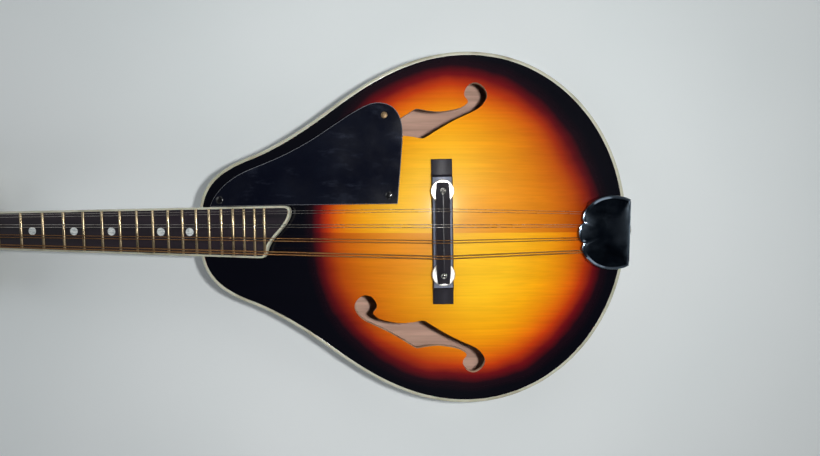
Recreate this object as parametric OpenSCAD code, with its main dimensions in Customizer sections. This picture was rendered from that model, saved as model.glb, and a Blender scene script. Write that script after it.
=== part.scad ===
// A teardrop-shaped mandolin with an arched top and back and two f-holes, lying on its back.
// X runs from the headstock to the tail, +Y is the treble side, +Z leaves the top.
// Lengths are in millimetres. Design stations along X count from the neck joint.

/* [Body] */
// Length of the body, neck joint to tail
body_l = 320.5; // [300:1:335]
// Width of the body across its widest place
body_w = 264.6; // [250:0.2:280]
// Height of the sides, with both plates' edges
body_h = 48; // [42:1:54]
// Rise of the arched top above its edge
top_arch = 9; // [6:0.5:12]
// Rise of the arched back below its edge
back_arch = 11; // [8:0.5:13]
// Thickness of both plates at the edge
plate_t = 3.5; // [3:0.1:4.5]
// Thickness of the bent sides
side_t = 3; // [2.4:0.1:3.5]
// Width of the body binding
binding_w = 2.4; // [1.5:0.1:3]

/* [Neck] */
// Scale length, nut to saddle
scale_l = 352; // [345:0.5:356]
// Number of frets
fret_count = 18; // [16:1:18]
// Angle between the fingerboard and the body's edge plane
neck_angle = 4.2; // [3.8:0.1:4.5]
// Extra angle of the headstock
head_angle = 10; // [9:0.5:10.5]
// Width of the fingerboard at the nut
nut_w = 28.3; // [27:0.1:31]
// Thickness of the fingerboard
board_t = 5; // [4:0.5:6]
// Length of the headstock
head_l = 140; // [136:1:141]
// Thickness of the headstock
head_t = 13.5; // [12:0.5:14]

/* [Strings and bridge] */
// Distance between the middles of the outer courses at the bridge
course_spread = 33.6; // [31:0.2:36]
// Gap between the middles of the two strings of a course
pair_gap = 1.9; // [1.6:0.1:2.4]
// Length of the bridge base, across the body
bridge_l = 107; // [100:1:115]
// Width of the bridge base, along the strings
bridge_w = 15.2; // [12:0.2:17]
// Distance between the two bridge posts
post_gap = 60.4; // [56:0.2:64]
// Radius of the thumbwheels
wheel_r = 8.5; // [7:0.1:9]

/* [Tuners] */
// Distance between neighbouring string posts
tuner_pitch = 23; // [22:0.2:24]
// Radius of a string post
post_r = 3; // [2.8:0.05:3.2]
// Teeth on a tuner gear
gear_teeth = 14; // [12:1:16]

/* [Hidden] */
$fn = 48;

// Running clearance of a shaft in its bore, and the looser one of a screw in its hole
run_gap = 0.06;
screw_gap = 0.1;

// Heights of the body, from the lowest point of the arched back
edge_low = back_arch;
edge_high = back_arch + body_h;
body_end = -2.5;
tail_end = body_end + body_l;
arch_mid = [175, 0];

// ---- small helpers -------------------------------------------------------

function bezier(p, t) =
    pow(1 - t, 3) * p[0] + 3 * t * pow(1 - t, 2) * p[1]
    + 3 * t * t * (1 - t) * p[2] + pow(t, 3) * p[3];
function bezier_run(p, n) = [for (i = [0 : n - 1]) bezier(p, i / n)];
function reversed(list) = [for (i = [len(list) - 1 : -1 : 0]) list[i]];
function mirrored(points) = [for (p = points) [p[0], -p[1]]];
function unit(v) = v / norm(v);
function cross2(a, b) = a[0] * b[1] - a[1] * b[0];
function left_of(v) = [-v[1], v[0]];

// A closed anticlockwise outline moved inwards by d, with true mitred corners
function inset(p, d) = [
    for (i = [0 : len(p) - 1])
        let (
            n = len(p),
            before = left_of(unit(p[i] - p[(i + n - 1) % n])),
            after = left_of(unit(p[(i + 1) % n] - p[i])),
            middle = unit(before + after)
        )
        p[i] + middle * d / (middle * before)
];

// A solid skinned over a list of closed rings that all have the same number of points
module skin(rings) {
    n = len(rings[0]);
    last = len(rings) - 1;
    points = [for (r = rings) for (p = r) p];
    sides = [
        for (k = [0 : last - 1]) for (i = [0 : n - 1])
            let (a = k * n + i, b = k * n + (i + 1) % n)
            for (f = [[a, a + n, b], [b, a + n, b + n]]) f
    ];
    caps = [[for (i = [0 : n - 1]) i], [for (i = [n - 1 : -1 : 0]) last * n + i]];
    polyhedron(points, concat(sides, caps));
}

// A round wire with sharp bends, as an eight-sided tube through its points
module wire(points, r) {
    sides = 8;
    last = len(points) - 1;
    skin([
        for (k = [0 : last])
            let (
                ahead = unit(points[min(k + 1, last)] - points[max(k, 1) - 1]),
                across = unit(cross([0, 0, 1], ahead)),
                up = cross(ahead, across)
            )
            [for (i = [0 : sides - 1])
                points[k] + r * (cos(i * 360 / sides) * across + sin(i * 360 / sides) * up)]
    ]);
}

module cylinder_x(r, l) { rotate([0, 90, 0]) cylinder(r = r, h = l); }
module cylinder_y(r, l) { rotate([-90, 0, 0]) cylinder(r = r, h = l); }

// ---- body outline and arching --------------------------------------------

// Treble half of the body's edge: shoulder, waistless flank, bout and tail
body_half = concat(
    bezier_run([[body_end, 15], [-0.5, 36], [12, 47], [38, 56.5]], 8),
    bezier_run([[38, 56.5], [60, 65.7], [80, 79.2], [98, 92.5]], 6),
    bezier_run([[98, 92.5], [128, 114.7], [160, body_w / 2], [198, body_w / 2]], 10),
    bezier_run([[198, body_w / 2], [265, body_w / 2], [tail_end, 74], [tail_end, 0]], 16)
);
// The whole edge, anticlockwise
body_edge = concat(mirrored(body_half), [[tail_end, 0]], reversed(body_half));
plate_edge = inset(body_edge, binding_w);

// How far a point is from the edge towards the middle of the arch, 0 to 1
function edge_share(p) =
    let (d = p - arch_mid, n = len(plate_edge))
    norm(d) < 0.01 ? 1 : 1 - max([
        for (i = [0 : n - 1])
            let (
                a = plate_edge[i] - arch_mid,
                e = plate_edge[(i + 1) % n] - plate_edge[i],
                k = cross2(d, e),
                u = k == 0 ? -1 : cross2(a, d) / k,
                s = k == 0 ? -1 : cross2(a, e) / k
            )
            (u >= 0 && u <= 1 && s > 0) ? 1 / s : 0
    ]);
// Rise of an arch with a slight hollow near its edge
function rise(t) = let (u = pow(max(0, t), 0.85)) u * u * (3 - 2 * u);
inner_margin = 0.06;
function inner_rise(t) = rise((t - inner_margin) / (1 - inner_margin));
function top_z(p) = edge_high + top_arch * rise(edge_share(p));
function under_top_z(p) = edge_high - plate_t + (top_arch - 0.5) * inner_rise(edge_share(p));

outer_steps = [0, 0.05, 0.1, 0.17, 0.26, 0.36, 0.48, 0.62, 0.8];
inner_steps = [0.84, 0.64, 0.46, 0.3, 0.17, inner_margin, 0];

function scaled_ring(t, z) = [
    for (p = plate_edge) let (q = arch_mid + (1 - t) * (p - arch_mid)) [q[0], q[1], z]
];

// An arched plate lying edge down at z = 0, arching up by rise_out
module arched_plate(rise_out) {
    middle_out = [arch_mid[0], arch_mid[1], plate_t + rise_out];
    middle_in = [arch_mid[0], arch_mid[1], rise_out - 0.5];
    rings = concat(
        [for (t = reversed(inner_steps)) scaled_ring(t, (rise_out - 0.5) * inner_rise(t))],
        [for (t = outer_steps) scaled_ring(t, plate_t + rise_out * rise(t))]
    );
    n = len(plate_edge);
    inner_n = len(inner_steps);
    // Rings run from the middle of the inner face, over the edge, to the middle outside
    ordered = concat(
        [for (k = [inner_n - 1 : -1 : 0]) rings[k]],
        [for (k = [inner_n : len(rings) - 1]) rings[k]]
    );
    last = len(ordered) - 1;
    points = concat([for (r = ordered) for (p = r) p], [middle_in, middle_out]);
    sides = [
        for (k = [0 : last - 1]) for (i = [0 : n - 1])
            let (a = k * n + i, b = k * n + (i + 1) % n)
            for (f = [[a, a + n, b], [b, a + n, b + n]]) f
    ];
    centre_in = (last + 1) * n;
    fans = [
        for (i = [0 : n - 1])
            for (f = [
                [i, (i + 1) % n, centre_in],
                [last * n + (i + 1) % n, last * n + i, centre_in + 1]
            ]) f
    ];
    polyhedron(points, concat(sides, fans));
}

// ---- f-holes ---------------------------------------------------------------

// Middle of each f-hole, by side
function fhole_mid(side) = side > 0 ? [162.6, 79.6] : [163.2, -77.9];
// Half of the bass f-hole about its middle: an eye's throat, the long edge with its
// notch, and the other eye; the other half is the same turned by half a turn
fhole_half = [
    [-35.1, 17.3], [-34.8, 14.8], [-29.8, 11.6], [-22.1, 9.7], [-14.3, 8.8], [-6.6, 9.4],
    [1.3, 10.9], [2.6, 10.3], [4, 10.4], [12.6, 5], [24.3, -1.8], [36, -7.4], [42.9, -10.9],
    [47.6, -15.8], [49.5, -21], [47.4, -26.4], [42, -30], [36.6, -28.9], [33.4, -24.8],
    [32.8, -20.6]
];
fhole_points = concat(fhole_half, -fhole_half);

module fhole_2d(side) {
    translate(fhole_mid(side))
        mirror([0, side > 0 ? 1 : 0, 0])
            polygon(fhole_points);
}

// ---- body ------------------------------------------------------------------

module top_plate() {
    color("darkorange")
        difference() {
            translate([0, 0, edge_high - plate_t]) arched_plate(top_arch);
            for (side = [-1, 1])
                translate([0, 0, edge_high - 10]) linear_extrude(30) fhole_2d(side);
        }
}

module back_plate() {
    color("sienna")
        translate([0, 0, edge_low + plate_t]) mirror([0, 0, 1]) arched_plate(back_arch);
}

module body_ring(outer, inner, low, high) {
    translate([0, 0, low])
        linear_extrude(high - low)
            difference() {
                polygon(inset(body_edge, outer));
                polygon(inset(body_edge, inner));
            }
}

tenon_w = 18;
tenon_l = 12;
tenon_low = 24;
tenon_high = 52;
// The pocket that the neck's tenon fits
module tenon_pocket() {
    translate([body_end - 1, -tenon_w / 2 - screw_gap, tenon_low - screw_gap])
        cube([
            tenon_l + 1.5 + screw_gap, tenon_w + 2 * screw_gap,
            tenon_high - tenon_low + 2 * screw_gap
        ]);
}

// Screws that enter the tail: [y, z, radius, length]
tail_screws = [[-7, 52, 1.4, 14], [7, 52, 1.4, 14], [0, 27, 1.4, 14]];
button_screw = [0, 39, 2, 24];
module tail_screw_holes() {
    for (s = concat(tail_screws, [button_screw]))
        translate([tail_end - s[3], s[0], s[1]]) cylinder_x(s[2] + screw_gap, s[3] + 4);
}

module rim() {
    color([0.05, 0.04, 0.06])
        for (side = [-1, 1])
            difference() {
                body_ring(0, side_t, edge_low + plate_t, edge_high - plate_t);
                translate([-50, side > 0 ? -200.03 : 0.03, 0]) cube([500, 200, 100]);
                tenon_pocket();
                tail_screw_holes();
            }
}

module inside_body(low, high) {
    translate([0, 0, low]) linear_extrude(high - low) polygon(inset(body_edge, side_t));
}
block_low = edge_low + plate_t + 0.1;
block_high = edge_high - plate_t - 0.1;
head_block_end = 26;
tail_block_start = 293;
block_half_w = 28;

module head_block() {
    color("burlywood")
        difference() {
            intersection() {
                inside_body(block_low, block_high);
                translate([-10, -block_half_w, 0]) cube([10 + head_block_end, 2 * block_half_w, 99]);
            }
            tenon_pocket();
        }
}

module tail_block() {
    color("burlywood")
        difference() {
            intersection() {
                inside_body(block_low, block_high);
                translate([tail_block_start, -block_half_w, 0]) cube([50, 2 * block_half_w, 99]);
            }
            tail_screw_holes();
        }
}

lining_w = 5;
lining_h = 6;
module linings() {
    color("tan")
        for (low = [block_low, block_high - lining_h])
            difference() {
                body_ring(side_t, side_t + lining_w, low, low + lining_h);
                translate([-20, -block_half_w - 0.1, 0])
                    cube([20.1 + head_block_end, 2 * block_half_w + 0.2, 99]);
                translate([tail_block_start - 0.1, -block_half_w - 0.1, 0])
                    cube([50, 2 * block_half_w + 0.2, 99]);
            }
}

bar_w = 6;
bar_start = 70;
bar_end = 262;
bar_y = 27;
bar_lean = 3;
bar_l = bar_end - bar_start;
bar_end_h = 2;
function bar_top(x) =
    under_top_z([bar_start + x, bar_y + x * tan(bar_lean) + bar_w / 2]) - 0.35;
// Two long bars glued under the top, leaning slightly outwards to the tail
module tone_bars() {
    steps = 10;
    bar_low = edge_high - plate_t - 4;
    color("navajowhite")
        for (side = [-1, 1])
            translate([bar_start, side * bar_y, 0])
                rotate([0, 0, side * bar_lean])
                    translate([0, bar_w / 2, 0])
                        rotate([90, 0, 0])
                            linear_extrude(bar_w)
                                polygon(concat(
                                    [for (i = [0 : steps]) [bar_l * i / steps, bar_top(bar_l * i / steps)]],
                                    [
                                        [bar_l, bar_top(bar_l) - bar_end_h], [bar_l - 25, bar_low],
                                        [25, bar_low], [0, bar_top(0) - bar_end_h]
                                    ]
                                ));
}

module body_binding_top() {
    color("ivory") body_ring(0, binding_w, edge_high - plate_t, edge_high);
}

module body_binding_back() {
    color("ivory") body_ring(0, binding_w, edge_low, edge_low + plate_t);
}

// ---- neck frame --------------------------------------------------------------

board_z = edge_high + 6.5;
nut_x = -178.3;
board_end = 68.2;
board_binding = 1.5;
// Frame of the neck: x along the fingerboard, z = 0 on the fingerboard's face
module on_neck() { translate([0, 0, board_z]) rotate([0, -neck_angle, 0]) children(); }
// Frame of the headstock: origin under the nut, x still towards the tail, z = 0 on its face
module on_head() {
    on_neck() translate([nut_x, 0, -board_t]) rotate([0, -head_angle, 0]) children();
}
// Places of a point of each frame in the body's frame
function turned(p, a) = [p[0] * cos(a) - p[2] * sin(a), p[1], p[0] * sin(a) + p[2] * cos(a)];
function neck_point(p) = turned(p, neck_angle) + [0, 0, board_z];
function head_point(p) = neck_point(turned(p, head_angle) + [nut_x, 0, -board_t]);

board_taper = 0.0223;
function board_half(x) = nut_w / 2 + (x - nut_x) * board_taper;
function fret_x(n) = nut_x + scale_l * (1 - pow(2, -n / 12));

// Outline of the fingerboard with its binding, anticlockwise, with a swept end
board_outline = concat(
    [[nut_x, board_half(nut_x)], [nut_x, -board_half(nut_x)]],
    bezier_run([[45, -board_half(45)], [49, -19.3], [49.6, -17.6], [50.6, -13]], 4),
    bezier_run([[50.6, -13], [52.2, -7.3], [57.5, -2.6], [61, 1.6]], 5),
    bezier_run([[61, 1.6], [64.5, 5.6], [68.4, 10.5], [board_end, 15.5]], 5),
    bezier_run([[board_end, 15.5], [68, 18.4], [66.5, 19.6], [62.5, board_half(62.5)]], 4),
    [[62.5, board_half(62.5)]]
);

module board_2d() {
    polygon(inset(board_outline, board_binding));
    translate([nut_x, -board_half(nut_x) + board_binding])
        square([3, 2 * board_half(nut_x) - 2 * board_binding]);
}

// Half depth of the round neck under the fingerboard, growing into the heel
heel_start = -50;
heel_depth = 29;
function neck_depth(x) =
    12.6 + (x - nut_x) * 0.022
    + heel_depth * pow(max(0, (x - heel_start) / (body_end - heel_start)), 2.3);
neck_sides = 18;
// One cross-section of the neck; the last one stands upright against the body
function neck_ring(x, upright) = [
    for (i = [0 : neck_sides])
        let (
            a = 180 * i / neck_sides,
            depth = neck_depth(x) * pow(sin(a), 0.9),
            z = -board_t - depth,
            along = upright ? (body_end - 0.05 + z * sin(neck_angle)) / cos(neck_angle) : x
        )
        [along, -(board_half(x) - 0.05) * cos(a), z]
];
neck_stations = [nut_x + 0.2, -150, -120, -90, -66, -50, -42, -35, -28, -22, -16, -11];

head_outline_half = [
    [0, 14], [-5, 14.6], [-11, 18], [-17, 24], [-23, 28.4], [-30, 30.2], [-60, 29.4],
    [-100, 28.2], [-122, 27.6], [-130, 25.2], [-136, 19.5], [-139, 11]
];
head_outline = concat(head_outline_half, [[-head_l, 0]], reversed(mirrored(head_outline_half)));

tuner_u = [for (k = [0 : 3]) -34 - k * tuner_pitch];
tuner_v = 17;
bushing_r = 4.2;
rod_r = 2.5;
rod_z = -board_t - 6.5;
headplate_t = 1.5;

// Places of the eight tuners in the headstock's frame: treble 0 to 3, bass 4 to 7
function tuner_side(k) = k < 4 ? 1 : -1;
function tuner_place(k) = [tuner_u[k % 4], tuner_side(k) * tuner_v, 0];

plate_half_w = 5.5;
plate_metal_t = 1.2;
tuner_plate_start = -17.5;
tuner_plate_end = -115.5;
tuner_screw_us = [-19.7, for (u = tuner_u) u - 8.4];

module tuner_holes(r) {
    for (k = [0 : 7]) translate(tuner_place(k)) translate([0, 0, -50]) cylinder(r = r, h = 100);
}
module tuner_screw_holes() {
    for (side = [-1, 1]) for (u = tuner_screw_us)
        translate([u, side * screw_v(u), -head_t - 2]) cylinder(r = 1, h = 10);
}
// The first screw sits near the plate's inner edge, clear of the first worm
function screw_v(u) = u > -25 ? tuner_v - 3.4 : tuner_v;

module neck() {
    color([0.25, 0.1, 0.05])
        difference() {
            union() {
                on_neck()
                    skin(concat(
                        [for (x = neck_stations) neck_ring(x, false)],
                        [neck_ring(body_end, true)]
                    ));
                on_head() translate([0, 0, -head_t]) linear_extrude(head_t) polygon(head_outline);
                // Wedge that carries the fingerboard over the body
                translate([0, 14, 0])
                    rotate([90, 0, 0])
                        linear_extrude(28)
                            polygon([
                                [body_end - 3, edge_high + 0.3], [12, edge_high + 0.8],
                                [44, edge_high + 2.5], neck_xz([44, -board_t - 0.02]),
                                neck_xz([body_end - 3, -board_t - 0.02])
                            ]);
                translate([body_end - 2, -tenon_w / 2, tenon_low])
                    cube([tenon_l + 2, tenon_w, tenon_high - tenon_low]);
            }
            on_neck() translate([nut_x - 12, 0, rod_z]) cylinder_x(rod_r + screw_gap, 165);
            on_head() translate([-26, -pocket_half_w, -9]) cube([20, 2 * pocket_half_w, 12]);
            on_head() tuner_holes(post_r + 0.4);
            on_head() for (k = [0 : 7])
                translate(tuner_place(k)) translate([0, 0, -7]) cylinder(r = bushing_r, h = 12);
            on_head() tuner_screw_holes();
            on_neck() translate([nut_x - 4.6, -20, -board_t]) cube([4.6, 40, 10]);
            on_head() for (p = cover_screws)
                translate([p[0], p[1], -4]) cylinder(r = 1, h = 8);
        }
}
function neck_xz(p) = let (q = neck_point([p[0], 0, p[1]])) [q[0], q[2]];

dot_frets = [3, 5, 7, 10, 12];
dot_r = 3;
dot_t = 1.2;
function dot_x(n) = (fret_x(n - 1) + fret_x(n)) / 2;

module fingerboard() {
    color([0.1, 0.08, 0.09])
        on_neck()
            difference() {
                translate([0, 0, -board_t]) linear_extrude(board_t) board_2d();
                for (n = dot_frets)
                    translate([dot_x(n), 0, -dot_t]) cylinder(r = dot_r, h = dot_t + 1);
            }
}

module fingerboard_binding() {
    color("ivory")
        on_neck()
            translate([0, 0, -board_t])
                linear_extrude(board_t)
                    difference() {
                        polygon(board_outline);
                        board_2d();
                    }
}

fret_w = 2;
fret_h = 1;
module frets() {
    color("goldenrod")
        on_neck()
            intersection() {
                for (n = [1 : fret_count])
                    translate([fret_x(n), 25, 0])
                        rotate([90, 0, 0])
                            linear_extrude(50)
                                polygon([
                                    for (a = [0 : 22.5 : 180])
                                        [fret_w / 2 * cos(a), fret_h * sin(a)]
                                ]);
                linear_extrude(3) polygon(inset(board_outline, 0.4));
            }
}

module inlays() {
    color("white")
        on_neck()
            for (n = dot_frets) translate([dot_x(n), 0, -dot_t]) cylinder(r = dot_r, h = dot_t);
}

// ---- strings -------------------------------------------------------------

// Radius of each string, from the treble side: two each of the four courses
string_r = [0.13, 0.13, 0.18, 0.18, 0.31, 0.31, 0.48, 0.48];
nut_l = 4.5;
nut_top = 1.9;
string_over_board = 1.1;
nut_spread = 21.8;
bridge_x = 179.3;
saddle_top = 82.6;
string_gap = 0.05;
hook_x = 303;
hook_squeeze = 0.82;

function spread_y(i, spread) =
    spread * (0.5 - floor(i / 2) / 3) + (i % 2 == 0 ? 0.5 : -0.5) * pair_gap;
function nut_y(i) = spread_y(i, nut_spread);
function saddle_y(i) = spread_y(i, course_spread);
function saddle_x(i) = bridge_x - saddle_y(i) * sin(bridge_turn);
function nut_string(i) =
    neck_point([nut_x - nut_l, nut_y(i), string_over_board + string_gap + string_r[i]]);
function saddle_string(i) =
    [saddle_x(i), saddle_y(i), saddle_top + string_gap + string_r[i]];
function hook_string(i) =
    [hook_x - 1.3, saddle_y(i) * hook_squeeze, hook_top - 1.6];
// Tuner that holds string i: outer strings go to the posts next to the nut
string_tuner = [0, 1, 2, 3, 7, 6, 5, 4];
winding_r = 3.75;
// The post next to the nut is wound lower, so that its string passes under its neighbour
function winding_z(k) = k % 4 == 0 ? 5.2 : 6.8;
function post_string(i) =
    let (p = tuner_place(string_tuner[i]), side = tuner_side(string_tuner[i]))
    head_point([
        p[0], p[1] - side * (winding_r + string_r[i] + 0.25), winding_z(string_tuner[i])
    ]);

module string_wire(i) {
    wire([post_string(i), nut_string(i), saddle_string(i), hook_string(i)], string_r[i]);
}
module plain_strings() { color("silver") for (i = [0 : 3]) string_wire(i); }
module wound_strings() { color("peru") for (i = [4 : 7]) string_wire(i); }

module nut() {
    color("ivory")
        on_neck()
            difference() {
                translate([nut_x - nut_l, -nut_w / 2, -board_t + 0.02])
                    cube([nut_l - 0.02, nut_w, board_t + nut_top - 0.02]);
                for (i = [0 : 7])
                    translate([nut_x - nut_l - 1, nut_y(i) - string_r[i] - 0.15, string_over_board])
                        cube([nut_l + 2, 2 * string_r[i] + 0.3, 3]);
            }
}

// ---- headstock fittings -----------------------------------------------------

module truss_rod() {
    color("silver")
        on_neck() {
            translate([nut_x - 8, 0, rod_z]) cylinder_x(rod_r, 160);
            translate([nut_x - 13, 0, rod_z]) rotate([0, 90, 0]) cylinder(r = 3.6, h = 5, $fn = 6);
        }
}

pocket_half_w = 4.3;
cover_screws = [[-10.5, 6.1], [-10.5, -6.1], [-32, 0]];
module truss_rod_cover() {
    color([0.06, 0.06, 0.07])
        on_head()
            difference() {
                translate([0, 0, headplate_t])
                    linear_extrude(1.6)
                        polygon([
                            [-6, 8.2], [-6, -8.2], [-14, -8.6], [-22, -6], [-30, -4.6], [-34, -4],
                            [-36, 0], [-34, 4], [-30, 4.6], [-22, 6], [-14, 8.6]
                        ]);
                for (p = cover_screws) translate([p[0], p[1], 0]) cylinder(r = 1, h = 9);
            }
}

module headplate() {
    color([0.05, 0.05, 0.06])
        on_head()
            difference() {
                linear_extrude(headplate_t)
                    intersection() {
                        polygon(head_outline);
                        translate([-200, -50]) square([194.6, 100]);
                    }
                tuner_holes(bushing_r);
                translate([-26, -pocket_half_w, -1]) cube([22, 2 * pocket_half_w, 4]);
                for (p = cover_screws) translate([p[0], p[1], -1]) cylinder(r = 1, h = 9);
            }
}

module tuner_bushings() {
    color("silver")
        on_head()
            for (k = [0 : 7])
                translate(tuner_place(k))
                    difference() {
                        union() {
                            translate([0, 0, headplate_t]) cylinder(r = 5.2, h = 0.8);
                            translate([0, 0, -7]) cylinder(r = bushing_r, h = 7 + headplate_t);
                        }
                        translate([0, 0, -10]) cylinder(r = post_r + run_gap, h = 20);
                    }
}

gear_r = 6.2;
gear_t = 3;
worm_r = 2.9;
worm_offset = 9.4;
shaft_r = 1.5;
axis_z = -head_t - plate_metal_t - 3.4;
ear_t = 1.4;
ear_gap = 5.2;
ear_half_w = 3;

// A plate with four pairs of ears that carry the worm shafts
module tuner_plate(side) {
    color("silver")
        on_head()
            difference() {
                union() {
                    translate([
                        tuner_plate_end, side * tuner_v - plate_half_w, -head_t - plate_metal_t
                    ])
                        cube([
                            tuner_plate_start - tuner_plate_end, 2 * plate_half_w, plate_metal_t
                        ]);
                    for (u = tuner_u) for (end = [-1, 1])
                        translate([
                            u + worm_offset - ear_half_w,
                            side * tuner_v + end * (ear_gap / 2 + 1.2) - ear_t / 2,
                            axis_z - 2.6
                        ])
                            cube([2 * ear_half_w, ear_t, -axis_z + 2.6 - head_t]);
                }
                for (u = tuner_u)
                    translate([u, side * tuner_v, -head_t - 10]) cylinder(r = post_r + run_gap, h = 20);
                for (u = tuner_u)
                    translate([u + worm_offset, side * tuner_v - 15, axis_z])
                        cylinder_y(shaft_r + run_gap, 30);
                tuner_screw_holes();
            }
}

module tuner_screws() {
    color("silver")
        on_head()
            for (side = [-1, 1]) for (u = tuner_screw_us)
                translate([u, side * screw_v(u), -head_t]) {
                    translate([0, 0, -plate_metal_t - 1]) cylinder(r = 1.6, h = 1);
                    translate([0, 0, -plate_metal_t - 0.1]) cylinder(r = 0.9, h = 7);
                }
}

// Worm shaft k, running out to its button past the headstock's edge
shaft_end = 36.5;
module tuner_shaft(k) {
    side = tuner_side(k);
    inner = tuner_v - ear_gap / 2 - 3;
    color("silver")
        on_head()
            translate([tuner_u[k % 4] + worm_offset, 0, axis_z])
                mirror([0, side > 0 ? 0 : 1, 0]) {
                    translate([0, inner, 0]) cylinder_y(shaft_r, shaft_end - inner);
                    translate([0, tuner_v, 0])
                        rotate([-90, 0, 0])
                            rotate_extrude()
                                polygon(concat(
                                    [[0, -2.6]],
                                    [for (i = [0 : 8]) [i % 2 == 0 ? 2.1 : worm_r, -2.6 + i * 0.65]],
                                    [[0, 2.6]]
                                ));
                    translate([0, 31.4, 0]) cylinder_y(2.4, 1.2);
                }
}

// An oval button on the end of worm shaft k
button_start = 32.7;
button_l = 12.5;
button_half_w = 8;
button_half_t = 3.6;
module tuner_button(k) {
    side = tuner_side(k);
    steps = 28;
    color("ivory")
        on_head()
            translate([tuner_u[k % 4] + worm_offset, 0, axis_z])
                mirror([0, side > 0 ? 0 : 1, 0])
                    difference() {
                        intersection() {
                            translate([0, button_start, -5])
                                linear_extrude(10)
                                    polygon([
                                        for (i = [0 : steps - 1])
                                            let (a = 360 * i / steps, r = 1 - 0.16 * cos(a + 90))
                                            [
                                                button_half_w * cos(a) * r,
                                                button_l / 2 * (1 + sin(a))
                                            ]
                                    ]);
                            translate([-10, 0, 0])
                                rotate([90, 0, 90])
                                    linear_extrude(20)
                                        polygon([
                                            [button_start - 1, -2.6], [button_start + 5, -button_half_t],
                                            [button_start + 10, -3], [button_start + 13, -1],
                                            [button_start + 13, 1], [button_start + 10, 3],
                                            [button_start + 5, button_half_t], [button_start - 1, 2.6]
                                        ]);
                        }
                        translate([0, button_start - 2, 0])
                            cylinder_y(shaft_r, shaft_end - button_start + 2);
                    }
}

// String post k with its gear, end screw and the string wound on it
post_top = 14.5;
module string_post(k) {
    wire_r = string_r[[for (i = [0 : 7]) if (string_tuner[i] == k) i][0]];
    color("silver")
        on_head()
            translate(tuner_place(k)) {
                translate([0, 0, axis_z]) cylinder(r = post_r, h = post_top - axis_z);
                translate([0, 0, winding_z(k) - 1.8]) cylinder(r = winding_r, h = 3.6);
                translate([0, 0, axis_z - gear_t / 2])
                    linear_extrude(gear_t)
                        polygon([
                            for (i = [0 : 2 * gear_teeth - 1])
                                let (r = i % 2 == 0 ? gear_r : gear_r - 0.9)
                                r * [cos(180 * i / gear_teeth), sin(180 * i / gear_teeth)]
                        ]);
                translate([0, 0, axis_z - gear_t / 2 - 0.8]) cylinder(r = 2.3, h = 1);
            }
}

// ---- bridge -----------------------------------------------------------------

bridge_turn = 1;
base_top = 72.6;
foot_t = 3.2;
bevel = 0.8;
wheel_low = 73.4;
wheel_t = 2.2;
saddle_low = wheel_low + wheel_t + 0.05;
saddle_l = 72.6;
saddle_w = 9.9;
stud_r = 2;
raised_half = 40.4;

module on_bridge() { translate([bridge_x, 0, 0]) rotate([0, 0, bridge_turn]) children(); }
function under_bridge_z(y) =
    max([for (dx = [-1, 0, 1]) top_z([bridge_x + dx * (bridge_w / 2 + 1), y])]) + 0.12;

module bridge_base() {
    ys = [for (i = [0 : 7]) bridge_l / 2 * (1 - i / 14)];
    foot = [for (y = ys) [y, under_bridge_z(y)]];
    foot_end = ys[7];
    color([0.06, 0.05, 0.06])
        on_bridge()
            difference() {
                union() {
                    translate([-bridge_w / 2, 0, 0])
                        rotate([90, 0, 90])
                            linear_extrude(bridge_w)
                                polygon(concat(
                                    [[bridge_l / 2, foot[0][1] + foot_t]], foot,
                                    [[foot_end - 4, top_z(arch_mid) + 1.6]],
                                    [[-foot_end + 4, top_z(arch_mid) + 1.6]],
                                    reversed([for (p = foot) [-p[0], p[1]]]),
                                    [
                                        [-bridge_l / 2, foot[0][1] + foot_t],
                                        [-raised_half - 1, foot[3][1] + foot_t - 0.6],
                                        [-raised_half, base_top - bevel], [raised_half, base_top - bevel],
                                        [raised_half + 1, foot[3][1] + foot_t - 0.6]
                                    ]
                                ));
                    // Raised middle with bevelled long sides
                    translate([0, raised_half, 0])
                        rotate([90, 0, 0])
                            linear_extrude(2 * raised_half)
                                polygon([
                                    [-bridge_w / 2, base_top - bevel - 0.5],
                                    [bridge_w / 2, base_top - bevel - 0.5],
                                    [bridge_w / 2, base_top - bevel],
                                    [bridge_w / 2 - bevel, base_top],
                                    [-bridge_w / 2 + bevel, base_top],
                                    [-bridge_w / 2, base_top - bevel]
                                ]);
                }
                for (side = [-1, 1])
                    translate([0, side * post_gap / 2, 66]) cylinder(r = stud_r, h = 20);
            }
}

module bridge_posts() {
    color("silver")
        on_bridge()
            for (side = [-1, 1])
                translate([0, side * post_gap / 2, 70.4]) cylinder(r = stud_r, h = 12.4);
}

module thumbwheel(side) {
    color("gainsboro")
        on_bridge()
            translate([0, side * post_gap / 2, wheel_low])
                difference() {
                    rotate_extrude()
                        polygon([
                            [0, 0], [wheel_r - 0.4, 0], [wheel_r, 0.4], [wheel_r, wheel_t - 0.4],
                            [wheel_r - 0.4, wheel_t], [0, wheel_t]
                        ]);
                    translate([0, 0, -1]) cylinder(r = stud_r + run_gap, h = 9);
                }
}

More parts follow.
